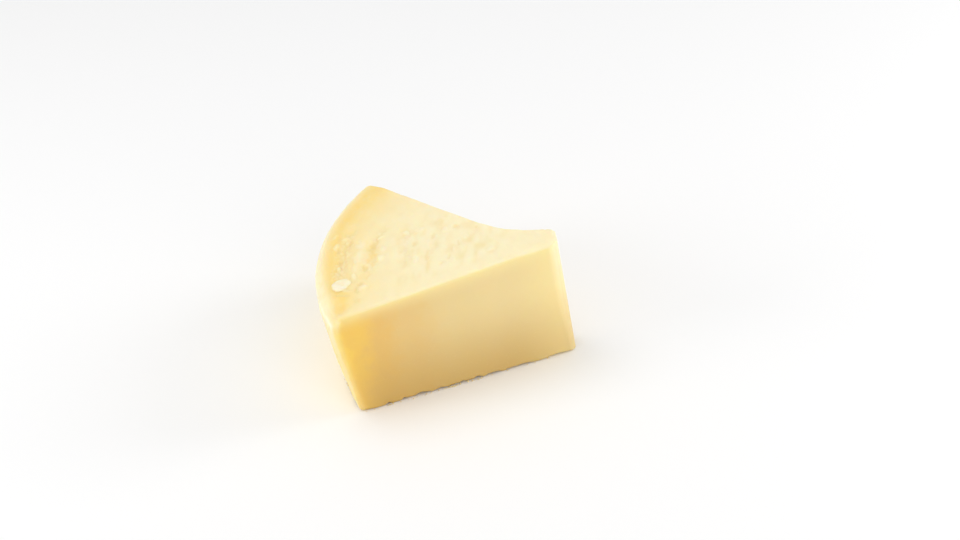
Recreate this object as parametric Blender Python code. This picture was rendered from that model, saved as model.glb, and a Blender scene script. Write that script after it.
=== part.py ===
"""A chunk of hard sheep's milk cheese: a wedge cut from a wheel, standing on its base.

The solid starts as a cube whose faces are divided into a grid. Every grid point has three shares from 0 to 1:
u runs from the rind to the tip, v from the front cut to the back cut, and w from the base to the top. The
functions below turn those shares into a place on the chunk: first the plan, then the height, then the rolled
edges, then the tuck of the rind towards the base, and last the relief of furrows, flakes, crags and nicks.

The front cut lies along X and faces -Y. The tip points to +X. The origin is under the middle of the chunk.
"""

import itertools
from collections import namedtuple

import bmesh
import bpy
import numpy as np

MM = 0.001

# Unevenness of a face: how high, how long its waves are, and the seed of its noise.
Uneven = namedtuple("Uneven", "height wavelength seed")

# An oval mark on the top: depth in from the rim, bearing round the wheel in degrees, and its size.
Mark = namedtuple("Mark", "depth bearing length width rise")

# The wheel that the chunk was cut from. Plan places are measured from the tip's front corner.
WHEEL_RADIUS = 130 * MM
WHEEL_CENTRE = np.array([22.5, 8.9]) * MM

# The tip and the two cuts. The back cut runs straight from the rind to the bend, where it broke away.
TIP_FRONT = np.array([0.0, 0.0]) * MM
TIP_BACK = np.array([3.2, 13.3]) * MM
BEND = np.array([-17.6, 26.6]) * MM
BACK_CUT_DEGREES = 113.7
BEND_SOFTNESS = 5 * MM
BEND_CATCH_UP = 6
TIP_LEAN = 3.3 * MM

# Heights. The top falls a little from the tip to the rind.
TIP_HEIGHT = 59.2 * MM
RIND_HEIGHT = 50.3 * MM
TOP_RUN = 118 * MM

# The rind is widest near its shoulder and tucks in towards the base.
SHOULDER_HEIGHT = 43.8 * MM
RIND_TUCK = 7.1 * MM
RIND_TUCK_POWER = 1.12

# How far each kind of edge is rolled over, and how far along a face a rolled corner reaches.
CUT_EDGE = 1.3 * MM
TOP_EDGE = 1.9 * MM
BASE_EDGE = 0.6 * MM
SHOULDER_EDGE = 4.2 * MM
TIP_EDGE = 4.6 * MM
# What the upright edges beside the rind add, and what the top's corner between rind and back cut adds.
RIND_EDGE = 1.5 * MM
FAR_CORNER = 2.0 * MM
SHOULDER_REACH = 14 * MM
TIP_REACH = 22 * MM
TIP_FOOT_REACH = 30 * MM
# Shares by which the tip's roll shrinks at its foot, at its back corner and along its top edge.
TIP_FOOT_SHRINK = 0.6
TIP_BACK_SHRINK = 0.85
TIP_TOP_SHRINK = 0.5
# A roll never takes more than these shares of the chunk's length and width.
LONGEST_ROLL = 0.3
WIDEST_ROLL = 0.45

# Furrows run round the top beside the rind and fade towards the tip, with a low ridge between each two.
FURROW_FIRST = 12.5 * MM
FURROW_SPACING = 14.5 * MM
FURROW_COUNT = 5
FURROW_WIDTH = 3.2 * MM
FURROW_DEPTH = 0.9 * MM
FURROW_FADE = 30 * MM
FURROW_DEGREES = (148.0, 169.5)
FURROW_SOFT_DEGREES = 7.0
# They slant: each runs deeper in by this much for each degree away from the given bearing.
FURROW_SLANT = 0.18 * MM
FURROW_BEARING = 160.0
FURROW_WANDER = Uneven(2.2 * MM, 17 * MM, 11)
FURROW_LEAST = 0.6
FURROW_BREAKS = Uneven(0.4, 7 * MM, 12)
RIDGE_WIDTH = 5.0 * MM
RIDGE_SHARE = 0.4

# Two loosened flakes beside the front corner of the rind, and the scoop that broke out of the same corner.
TOP_MARKS = (
    Mark(11.3 * MM, 171.8, 11.0 * MM, 10.0 * MM, 1.4 * MM),
    Mark(20.3 * MM, 175.5, 6.0 * MM, 6.0 * MM, 0.6 * MM),
    Mark(6.0 * MM, 179.5, 13.0 * MM, 17.0 * MM, -1.2 * MM),
)
MARK_STEEPNESS = 1.5

TOP_UNEVEN = Uneven(0.4 * MM, 17 * MM, 1)
FRONT_UNEVEN = Uneven(0.22 * MM, 26 * MM, 2)
BACK_UNEVEN = Uneven(0.40 * MM, 26 * MM, 3)
BREAK_UNEVEN = Uneven(0.75 * MM, 13 * MM, 4)
RIND_UNEVEN = Uneven(0.35 * MM, 21 * MM, 5)
# The broken surface beside the bend fades in between these two places along X.
BREAK_STARTS = -28 * MM
BREAK_IS_FULL = -20 * MM

# Nicks out of the edge of the base: how far up they reach, and where the noise is high enough for one.
NICK_REACH = 4.5 * MM
NICKS = Uneven(1.2 * MM, 5.5 * MM, 21)
NICK_STARTS = 0.02
NICK_IS_FULL = 0.38

# A face takes its own relief where its normal turns towards it, between these two shares.
FACE_STARTS = 0.4
FACE_IS_FULL = 0.9

# Grid of the solid: cuts along u, v and w, and how much its rows crowd towards the edges.
GRID_CUTS = (46, 33, 10)
CROWDING = 0.38
TINY = 1e-4

PASTE_COLOUR = (0.93, 0.76, 0.42, 1.0)
PASTE_ROUGHNESS = 0.55
SHARP_DEGREES = 40.0
NOISE_CELLS = 16


def clear_scene():
    """Removes every object of the scene."""
    for thing in list(bpy.data.objects):
        bpy.data.objects.remove(thing)


def ease(x):
    """Rises smoothly from 0 at 0 to 1 at 1, and stays level outside."""
    x = np.clip(x, 0.0, 1.0)
    return x * x * (3.0 - 2.0 * x)


def rise_between(x, low, high):
    """Rises smoothly from 0 where x is low to 1 where x is high."""
    return ease((x - low) / (high - low))


def bump(x):
    """A rounded hump: 1 at 0, falling to 0 at 1 and beyond."""
    return ease(1.0 - np.abs(x))


def noise(points, uneven):
    """Smooth noise up to the given height: random values at the corners of cubes, blended between them."""
    table = np.random.default_rng(uneven.seed).uniform(-1.0, 1.0, (NOISE_CELLS,) * 3)
    place = points / uneven.wavelength
    cell = np.floor(place).astype(int)
    blend = ease(place - cell)
    total = np.zeros(len(points))
    for corner in itertools.product((0, 1), repeat=3):
        index = (cell + corner) % NOISE_CELLS
        weight = np.prod(np.where(corner, blend, 1.0 - blend), axis=1)
        total += weight * table[tuple(index.T)]
    return uneven.height * total


def front_rind_corner():
    """The plan corner where the front cut leaves the wheel's rim."""
    across = np.sqrt(WHEEL_RADIUS**2 - WHEEL_CENTRE[1] ** 2)
    return np.array([WHEEL_CENTRE[0] - across, 0.0])


def back_cut_run():
    """The back cut's straight run: its corner at the rim, its direction to the bend, and its length."""
    angle = np.radians(BACK_CUT_DEGREES)
    outward = np.array([np.cos(angle), np.sin(angle)])
    offset = BEND - WHEEL_CENTRE
    along = offset @ outward
    length = np.sqrt(along**2 - offset @ offset + WHEEL_RADIUS**2) - along
    return BEND + outward * length, -outward, length


def front_line(u):
    """Plan points on the front cut, a straight line."""
    start = front_rind_corner()
    return start + (TIP_FRONT - start) * u[:, None]


def back_line(u):
    """Plan points on the back cut: two straight runs joined by a soft bend."""
    start, first, run = back_cut_run()
    nose = TIP_BACK - BEND
    nose_length = np.linalg.norm(nose)
    second = nose / nose_length
    travel = u * (run + nose_length)
    past = BEND_SOFTNESS * np.logaddexp(0.0, (travel - run) / BEND_SOFTNESS)
    points = start + first * (travel - past)[:, None] + second * past[:, None]
    # The soft bend runs on a little past the tip, and that is taken up along the last stretch.
    spill = BEND_SOFTNESS * np.logaddexp(0.0, nose_length / BEND_SOFTNESS) - nose_length
    return points + (first - second) * spill * (u**BEND_CATCH_UP)[:, None]


def rind_line(v):
    """Plan points on the rim: an arc of the wheel from the front cut to the back cut."""
    start = front_rind_corner() - WHEEL_CENTRE
    end = back_cut_run()[0] - WHEEL_CENTRE
    first = np.arctan2(start[1], start[0]) % (2.0 * np.pi)
    last = np.arctan2(end[1], end[0])
    angle = first + (last - first) * v
    return WHEEL_CENTRE + WHEEL_RADIUS * np.stack([np.cos(angle), np.sin(angle)], axis=1)


def tip_line(v):
    """Plan points on the blunt tip."""
    return TIP_FRONT + (TIP_BACK - TIP_FRONT) * v[:, None]


def plan(u, v):
    """Plan points inside the four border lines, blended from them (a Coons patch)."""
    zero = np.zeros(1)
    one = np.ones(1)
    across = (1.0 - v)[:, None] * front_line(u) + v[:, None] * back_line(u)
    along = (1.0 - u)[:, None] * rind_line(v) + u[:, None] * tip_line(v)
    corners = (
        ((1.0 - u) * (1.0 - v))[:, None] * front_line(zero)
        + (u * (1.0 - v))[:, None] * front_line(one)
        + ((1.0 - u) * v)[:, None] * back_line(zero)
        + (u * v)[:, None] * back_line(one)
    )
    return across + along - corners


def top_height(points):
    """Height of the top above a plan point: it falls evenly from the tip to the rind."""
    share = np.clip(np.linalg.norm(points, axis=1) / TOP_RUN, 0.0, 1.0)
    return TIP_HEIGHT + (RIND_HEIGHT - TIP_HEIGHT) * share


def edge_pull(place, length, radius):
    """How deep a point lies in an edge zone: 1 on the low face, -1 on the high face, 0 past the radius."""
    low = np.maximum(0.0, 1.0 - place / radius)
    high = np.maximum(0.0, 1.0 - (length - place) / radius)
    return low - high


def roll_edges(u, v, w):
    """Moves the shares near an edge onto an ellipsoid, so that the edge is rolled over."""
    height = top_height(plan(u, v))
    length = np.linalg.norm(rind_line(v) - tip_line(v), axis=1)
    width = np.linalg.norm(front_line(u) - back_line(u), axis=1)
    near_rind = ease(1.0 - u * length / SHOULDER_REACH)
    near_tip = ease(1.0 - (1.0 - u) * length / TIP_REACH)
    near_top = ease(1.0 - (1.0 - w) * height / SHOULDER_REACH)
    near_foot = ease(1.0 - w * height / TIP_FOOT_REACH)
    tip_roll = TIP_EDGE * near_tip * (1.0 - TIP_FOOT_SHRINK * near_foot)
    shoulder_roll = SHOULDER_EDGE * near_rind * near_top
    top_roll = (TOP_EDGE - BASE_EDGE) * (1.0 - TIP_TOP_SHRINK * near_tip) * near_top
    side_roll = CUT_EDGE + RIND_EDGE * near_rind
    along = side_roll + shoulder_roll + tip_roll * (1.0 - TIP_BACK_SHRINK * v)
    across = side_roll + tip_roll * ease(1.0 - v) + FAR_CORNER * near_rind * near_top * ease(v)
    radius = (
        np.minimum(along, LONGEST_ROLL * length),
        np.minimum(across, WIDEST_ROLL * width),
        BASE_EDGE + top_roll + shoulder_roll,
    )
    size = (length, width, height)
    shares = (u, v, w)
    pull = [edge_pull(share * full, full, roll) for share, full, roll in zip(shares, size, radius)]
    depth = np.maximum(np.linalg.norm(pull, axis=0), 1.0)
    return [
        share + reach * (1.0 - 1.0 / depth) * roll / full
        for share, reach, roll, full in zip(shares, pull, radius, size)
    ]


def body_points(u, v, w):
    """Places of the smooth chunk, before any relief, measured from the tip's front corner."""
    u, v, w = roll_edges(u, v, w)
    flat = plan(u, v)
    rise = w * top_height(flat)
    inward = WHEEL_CENTRE - rind_line(v)
    inward /= np.linalg.norm(inward, axis=1)[:, None]
    sink = np.clip(1.0 - rise / SHOULDER_HEIGHT, 0.0, 1.0)
    tuck = RIND_TUCK * sink**RIND_TUCK_POWER * (1.0 - u)
    flat = flat + inward * tuck[:, None]
    flat[:, 0] += TIP_LEAN * (1.0 - w) * u**2
    return np.column_stack([flat, rise])


def wheel_polar(points):
    """Depth in from the rim of the wheel, and bearing in degrees round its centre."""
    offset = points[:, :2] - WHEEL_CENTRE
    depth = WHEEL_RADIUS - np.linalg.norm(offset, axis=1)
    bearing = np.degrees(np.arctan2(offset[:, 1], offset[:, 0])) % 360.0
    return depth, bearing


def furrows(points):
    """Shallow furrows round the top, side by side, broken up and fading towards the tip."""
    depth, bearing = wheel_polar(points)
    low, high = FURROW_DEGREES
    soft = 0.5 * FURROW_SOFT_DEGREES
    window = rise_between(bearing, low - soft, low + soft) * rise_between(-bearing, -high - soft, -high + soft)
    wander = depth - FURROW_SLANT * (FURROW_BEARING - bearing) + noise(points, FURROW_WANDER)
    strength = FURROW_LEAST + noise(points, FURROW_BREAKS)
    total = np.zeros(len(points))
    for index in range(FURROW_COUNT):
        centre = FURROW_FIRST + index * FURROW_SPACING
        size = FURROW_DEPTH * np.exp(-index * FURROW_SPACING / FURROW_FADE)
        ridge = centre + 0.5 * FURROW_SPACING
        total -= size * bump((wander - centre) / FURROW_WIDTH) * window * strength
        total += size * bump((wander - ridge) / RIDGE_WIDTH) * window * RIDGE_SHARE
    return total


def oval_mark(points, mark):
    """An oval swelling or scoop on the top, its long axis pointing at the wheel's centre."""
    depth, bearing = wheel_polar(points)
    side = np.radians(bearing - mark.bearing) * (WHEEL_RADIUS - mark.depth)
    reach = np.hypot((depth - mark.depth) / (0.5 * mark.length), side / (0.5 * mark.width))
    return mark.rise * ease(MARK_STEEPNESS * (1.0 - reach))


def relief(points, normals):
    """Height of the relief along the normal at each point."""
    outward = points[:, :2] - WHEEL_CENTRE
    outward /= np.linalg.norm(outward, axis=1)[:, None]
    depth, _ = wheel_polar(points)
    top = rise_between(normals[:, 2], FACE_STARTS, FACE_IS_FULL)
    front = rise_between(-normals[:, 1], FACE_STARTS, FACE_IS_FULL)
    rind = rise_between(np.sum(normals[:, :2] * outward, axis=1), FACE_STARTS, FACE_IS_FULL)
    rind = rind * rise_between(-depth, -2.0 * RIND_TUCK, -RIND_TUCK)
    back = np.clip(1.0 - top - rind - front, 0.0, 1.0) * (normals[:, 2] > -0.5)
    broken = rise_between(points[:, 0], BREAK_STARTS, BREAK_IS_FULL)
    marks = sum(oval_mark(points, mark) for mark in TOP_MARKS)
    total = top * (furrows(points) + marks + noise(points, TOP_UNEVEN))
    total += front * noise(points, FRONT_UNEVEN) + rind * noise(points, RIND_UNEVEN)
    total += back * (noise(points, BACK_UNEVEN) + broken * noise(points, BREAK_UNEVEN))
    return total


def nick_lift(points):
    """How far the nicks raise each point near the edge of the base."""
    flat = points * np.array([1.0, 1.0, 0.0])
    amount = noise(flat, NICKS) / NICKS.height
    closeness = ease(1.0 - points[:, 2] / NICK_REACH)
    return NICKS.height * rise_between(amount, NICK_STARTS, NICK_IS_FULL) * closeness


def crowd(share):
    """Moves evenly spaced shares towards 0 and 1."""
    wave = 0.5 - 0.5 * np.cos(np.pi * share)
    return (1.0 - CROWDING) * share + CROWDING * wave


def gridded_cube():
    """A unit cube whose edges are cut along X, Y and Z in turn."""
    mesh = bmesh.new()
    bmesh.ops.create_cube(mesh, size=1.0)
    for axis, cuts in enumerate(GRID_CUTS):
        edges = [e for e in mesh.edges if abs(e.verts[0].co[axis] - e.verts[1].co[axis]) > TINY]
        bmesh.ops.subdivide_edges(mesh, edges=edges, cuts=cuts, use_grid_fill=True)
    return mesh


def move_vertices(mesh, points):
    """Puts the mesh's vertices at the given places."""
    for vertex, point in zip(mesh.verts, points):
        vertex.co = point
    mesh.normal_update()


def shape_chunk(mesh):
    """Turns the gridded cube into the chunk, with its relief, standing on the origin."""
    shares = np.array([vertex.co for vertex in mesh.verts]) + 0.5
    inside = (np.abs(shares[:, :2] - 0.5) < 0.5 - TINY).all(axis=1)
    flat_base = inside & (shares[:, 2] < TINY)
    points = body_points(*crowd(shares).T)
    move_vertices(mesh, points)
    normals = np.array([vertex.normal for vertex in mesh.verts])
    rise = np.where(flat_base, 0.0, relief(points, normals))
    points = points + normals * rise[:, None]
    points[:, 2] = np.maximum(points[:, 2], 0.0)
    points[:, 2] += np.where(flat_base, 0.0, nick_lift(points))
    low = points.min(axis=0)
    middle = 0.5 * (low + points.max(axis=0))
    middle[2] = low[2]
    move_vertices(mesh, points - middle)


def paste_material():
    """The pale yellow paste of the cheese."""
    material = bpy.data.materials.new("cheese_paste")
    material.use_nodes = True
    shader = material.node_tree.nodes["Principled BSDF"]
    shader.inputs["Base Color"].default_value = PASTE_COLOUR
    shader.inputs["Roughness"].default_value = PASTE_ROUGHNESS
    shader.inputs["Metallic"].default_value = 0.0
    return material


def make_chunk():
    """The whole chunk as one closed solid."""
    mesh = gridded_cube()
    shape_chunk(mesh)
    bmesh.ops.recalc_face_normals(mesh, faces=mesh.faces)
    data = bpy.data.meshes.new("cheese_chunk")
    mesh.to_mesh(data)
    mesh.free()
    data.materials.append(paste_material())
    data.shade_smooth()
    data.set_sharp_from_angle(angle=np.radians(SHARP_DEGREES))
    chunk = bpy.data.objects.new("cheese_chunk", data)
    bpy.context.scene.collection.objects.link(chunk)
    return chunk


clear_scene()
make_chunk()
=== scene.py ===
"""Dresses a chunk of hard sheep's milk cheese, cut as a wedge from a wheel, for a studio picture.

The chunk is one closed skin: the surface of a box of grid points, where u runs from the rind to the tip, v
from the front cut to the back cut and w from the base to the top. ChunkForm turns those shares into places,
Relief raises and sinks them along their normals, and the masks that it hands on steer the colours of the
finish. Loose flakes lie on the top and crumbs lie along the foot. Lengths are in millimetres until a mesh is
written. In every docstring, points are places in millimetres, one row each.
"""

from __future__ import annotations

import itertools
import logging
from dataclasses import dataclass, field
from enum import Enum

import bpy
import numpy as np
from mathutils import Matrix, Vector

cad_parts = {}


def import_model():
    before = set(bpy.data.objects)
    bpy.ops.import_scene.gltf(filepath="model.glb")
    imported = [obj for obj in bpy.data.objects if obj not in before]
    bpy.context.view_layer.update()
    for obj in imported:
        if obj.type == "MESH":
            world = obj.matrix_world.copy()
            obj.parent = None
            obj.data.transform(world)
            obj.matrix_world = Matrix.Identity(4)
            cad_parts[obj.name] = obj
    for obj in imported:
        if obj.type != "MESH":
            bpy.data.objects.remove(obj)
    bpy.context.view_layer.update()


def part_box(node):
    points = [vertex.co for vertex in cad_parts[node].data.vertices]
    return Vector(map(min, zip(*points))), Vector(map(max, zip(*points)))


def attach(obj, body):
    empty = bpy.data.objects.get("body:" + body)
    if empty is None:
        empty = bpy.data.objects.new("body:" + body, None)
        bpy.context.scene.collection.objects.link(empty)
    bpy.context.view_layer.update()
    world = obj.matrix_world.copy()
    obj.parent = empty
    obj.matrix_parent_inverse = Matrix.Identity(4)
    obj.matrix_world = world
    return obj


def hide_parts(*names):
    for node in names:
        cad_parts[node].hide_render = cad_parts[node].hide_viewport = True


MM = 0.001
NODE = "cheese_chunk"
BODY = "root"
PRINCIPLED = "ShaderNodeBsdfPrincipled"
OVAL_SLOPE = 1.5  # an oval is full two thirds of the way in from its rim
REPEAT = 16  # cells along each side of a random table, which then starts again
LOG = logging.getLogger("cheese_scene")

Array = np.ndarray
Object = bpy.types.Object
Material = bpy.types.Material
Tree = bpy.types.NodeTree
Node = bpy.types.Node
Socket = bpy.types.NodeSocket
Pair = tuple[float, float]
Triple = tuple[float, float, float]
Span = tuple[Pair, Pair]
Colour = Triple
Stops = tuple[tuple[float, Colour], ...]


class Mask(Enum):
    """Vertex attributes from 0 to 1 that the finishes read."""

    TOP = "wheel_top"
    # The golden band beside the rim, with a painted glow by its far corner.
    GOLD = "golden_band"
    # Painted shade in the top's sunk and torn places; on the rind's side, its hollows.
    PIT = "sunk"
    # Painted light on the top's raised grains and lumps, a painted highlight along the rim, painted light on
    # a flake's top, and a crumb's random tone.
    PALE_AND_PAINTED_LIGHT = "raised"
    RIND = "near_rind"
    # Painted highlight along the upper edge of a cut.
    RIM_HIGHLIGHT = "cut_rim_highlight"
    # Drives the painted shade of the cuts towards the base, and the skin's painted light and shade from the
    # top down.
    LOW = "near_base"
    # The dry skin of the rind and the tip, and painted light that spills from it a few millimetres onto the
    # cuts.
    SKIN_AND_SPILT_LIGHT = "dry_skin_and_spilt_light"
    BREAK = "broken"


def ease(x: Array) -> Array:
    """Rises smoothly from 0 at 0 to 1 at 1 as x * x * (3 - 2 * x), and stays level outside."""
    x = np.clip(x, 0.0, 1.0)
    return x * x * (3.0 - 2.0 * x)


def rise_between(x: Array, low: float, high: float) -> Array:
    """Rises smoothly from 0 where x is low to 1 where x is high, also where high is the lesser of the two."""
    return ease((x - low) / (high - low))


def bump(x: Array) -> Array:
    """A rounded hump: 1 where x is 0, falling to 0 at 1 and beyond on both sides."""
    return ease(1.0 - np.abs(x))


def at_least(least: float, share: Array) -> Array:
    """Runs evenly from the least where the share is 0 to 1 where it is 1."""
    return least + (1.0 - least) * share


def spin(x: Array, y: Array, turn: float | Array) -> tuple[Array, Array]:
    """Turns plan offsets by an angle in radians: x cos - y sin and x sin + y cos."""
    cos, sin = np.cos(turn), np.sin(turn)
    return x * cos - y * sin, x * sin + y * cos


def oval(along: Array, across: Array, size: Pair, wobble: Array | float = 0.0) -> Array:
    """A soft oval: 0 at its rim, which the wobble shifts, and eased to 1 over two thirds of the way in."""
    length, width = size
    return ease(OVAL_SLOPE * (1.0 + wobble - np.hypot(along / (0.5 * length), across / (0.5 * width))))


def linear(*colour: float) -> Colour:
    """Turns a display colour with channels from 0 to 255 into scene linear light.

    The display curve is a straight line up to its knee and a power law above it.

    Args:
        *colour: Red, green and blue.

    Returns:
        The linear colour, from 0 to 1.
    """
    knee, slope, offset, power = 0.04045, 12.92, 0.055, 2.4
    share = np.array(colour) / 255.0
    high = ((share + offset) / (1.0 + offset)) ** power
    return tuple(np.where(share <= knee, share / slope, high).tolist())


def grey(share: float) -> Colour:
    """A linear grey."""
    return (share,) * 3


@dataclass(frozen=True)
class Noise:
    """Smooth random heights, the same in each run.

    Attributes:
        height: The most that one octave rises or falls, in millimetres.
        wavelength: The size of its waves in millimetres.
        seed: Picks the random table.
        octaves: How many layers it has, each half as large and half as high as the one before.
        stretch: How much longer the waves are along X, Y and Z.
        turn: How far those X and Y axes are turned, in degrees.
    """

    height: float
    wavelength: float
    seed: int
    octaves: int = 1
    stretch: Triple = (1.0, 1.0, 1.0)
    turn: float = 0.0

    def at(self, points: Array) -> Array:
        """Adds up the octaves, each a blend of random values at the corners of cubes.

        Args:
            points: Places.

        Returns:
            One height for each place.
        """
        total = np.zeros(len(points))
        x, y, z = points.T
        turned = np.column_stack((*spin(x, y, -np.radians(self.turn)), z))
        for octave in range(self.octaves):
            share = 0.5**octave
            place = turned / (self.wavelength * share * np.array(self.stretch))
            total += self.height * share * self._blend(place, self.seed + octave)
        return total

    def unit(self, points: Array) -> Array:
        """The same noise as a plain number, about -1 to 1."""
        return self.at(points) / self.height

    @staticmethod
    def _blend(place: Array, seed: int) -> Array:
        """Blends a table of random values between the corners of unit cubes, eased along each axis.

        Args:
            place: Places in cubes, one row each.
            seed: Picks the table.

        Returns:
            Values from -1 to 1.
        """
        table = np.random.default_rng(seed).uniform(-1.0, 1.0, (REPEAT,) * 3)
        cell = np.floor(place).astype(int)
        share = ease(place - cell)
        total = np.zeros(len(place))
        for corner in itertools.product((0, 1), repeat=3):
            index = (cell + corner) % REPEAT
            weight = np.prod(np.where(corner, share, 1.0 - share), axis=1)
            total += weight * table[tuple(index.T)]
        return total


@dataclass(frozen=True)
class BoxLattice:
    """The skin of a box of grid points, with its six sheets sharing their border points.

    Attributes:
        cells: Number of cells along u, v and w.
        crowding: How much the rows crowd towards the edges along each of them, from 0, even, to 1.
    """

    cells: tuple[int, int, int]
    crowding: Triple

    def build(self) -> tuple[Array, Array]:
        """Numbers the skin's points once and lists the cells of all six sheets, facing outwards.

        Returns:
            The shares u, v and w of each point, one row each, and the corner numbers of each cell.
        """
        counts = np.array(self.cells) + 1
        index = np.indices(counts).reshape(3, -1)
        last = (counts - 1)[:, None]
        on_skin = ((index == 0) | (index == last)).any(axis=0)
        number = np.full(on_skin.shape, -1)
        number[on_skin] = np.arange(np.count_nonzero(on_skin))
        number = number.reshape(counts)
        sheets = []
        for axis, side in itertools.product(range(3), (0, -1)):
            sheet = np.take(number, side, axis=axis)
            corners = (sheet[:-1, :-1], sheet[1:, :-1], sheet[1:, 1:], sheet[:-1, 1:])
            cells = np.stack(corners, axis=-1).reshape(-1, 4)
            inward = (side == 0) != (axis == 1)
            sheets.append(cells[:, ::-1] if inward else cells)
        even = (index[:, on_skin] / last).T
        wave = 0.5 - 0.5 * np.cos(np.pi * even)
        return even + (wave - even) * self.crowding, np.concatenate(sheets)


@dataclass(frozen=True)
class BallLattice:
    """The skin of a ball: rings between two poles, closed by fans.

    Attributes:
        rings: Number of rings between the poles.
        spokes: Number of points on each ring.
    """

    rings: int
    spokes: int

    def copies(self, count: int) -> tuple[Array, tuple[Array, Array]]:
        """Lists the directions by height angle and bearing, and the faces between them, once for each ball.

        Args:
            count: How many balls are written one after another.

        Returns:
            One ball's unit directions, with the poles last, then all four-cornered and three-cornered faces.
        """
        polar = np.pi * np.arange(1, self.rings + 1) / (self.rings + 1)
        turn = 2.0 * np.pi * np.arange(self.spokes) / self.spokes
        polar, turn = np.meshgrid(polar, turn, indexing="ij")
        ring = np.stack((np.sin(polar) * np.cos(turn), np.sin(polar) * np.sin(turn), np.cos(polar)), axis=-1)
        directions = np.concatenate((ring.reshape(-1, 3), [[0.0, 0.0, 1.0], [0.0, 0.0, -1.0]]))
        number = np.arange(self.rings * self.spokes).reshape(self.rings, self.spokes)
        after = np.roll(number, -1, axis=1)
        bands = np.stack((number[:-1], number[1:], after[1:], after[:-1]), axis=-1).reshape(-1, 4)
        top = np.full(self.spokes, len(directions) - 2)
        bottom = top + 1
        fans = (np.stack((number[0], after[0], top), -1), np.stack((after[-1], number[-1], bottom), -1))
        parts = (bands, np.concatenate(fans))
        shift = len(directions) * np.arange(count)[:, None, None]
        return directions, tuple((part + shift).reshape(-1, part.shape[1]) for part in parts)


def make_piece(name: str, points: Array, faces: tuple[Array, ...], masks: dict[Mask, Array]) -> Object:
    """Writes points, faces and masks into a new smooth mesh object at the origin.

    Args:
        name: The piece's name.
        points: Places.
        faces: Arrays of corner numbers, one array for each number of corners.
        masks: Vertex attributes by mask.

    Returns:
        The new object, linked to the scene.
    """
    data = bpy.data.meshes.new(name)
    totals = np.concatenate([np.full(len(part), part.shape[1]) for part in faces])
    corners = np.concatenate([part.ravel() for part in faces])
    data.vertices.add(len(points))
    data.vertices.foreach_set("co", (points * MM).astype(np.float32).ravel())
    data.loops.add(len(corners))
    data.loops.foreach_set("vertex_index", corners.astype(np.int32))
    data.polygons.add(len(totals))
    data.polygons.foreach_set("loop_start", (np.cumsum(totals) - totals).astype(np.int32))
    data.polygons.foreach_set("loop_total", totals.astype(np.int32))
    data.update(calc_edges=True)
    data.validate()
    for mask, values in masks.items():
        layer = data.attributes.new(mask.value, "FLOAT", "POINT")
        layer.data.foreach_set("value", np.clip(values, 0.0, 1.0).astype(np.float32))
    data.shade_smooth()
    piece = bpy.data.objects.new(name, data)
    bpy.context.scene.collection.objects.link(piece)
    return piece


@dataclass(frozen=True)
class Wheel:
    """The wheel that the chunk was cut from.

    Attributes:
        radius: Its radius in millimetres.
        centre: Its centre, measured from the tip's front corner.
    """

    radius: float = 130.0
    centre: Pair = (22.5, 8.9)

    def polar(self, points: Array) -> tuple[Array, Array]:
        """Depth in from the rim, and bearing round the centre in degrees.

        Args:
            points: Places.

        Returns:
            The depths and the bearings.
        """
        offset = points[:, :2] - self.centre
        bearing = np.degrees(np.arctan2(offset[:, 1], offset[:, 0])) % 360.0
        return self.radius - np.linalg.norm(offset, axis=1), bearing

    def place(self, depth: Array, bearing: Array) -> Array:
        """Plan places at the given depths in from the rim and bearings in degrees."""
        turn = np.radians(bearing)
        return self.centre + (self.radius - depth)[:, None] * np.stack((np.cos(turn), np.sin(turn)), axis=1)

    def outward(self, points: Array) -> Array:
        """Unit plan directions from the centre through each place."""
        offset = points[:, :2] - self.centre
        return offset / np.linalg.norm(offset, axis=1)[:, None]


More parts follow.
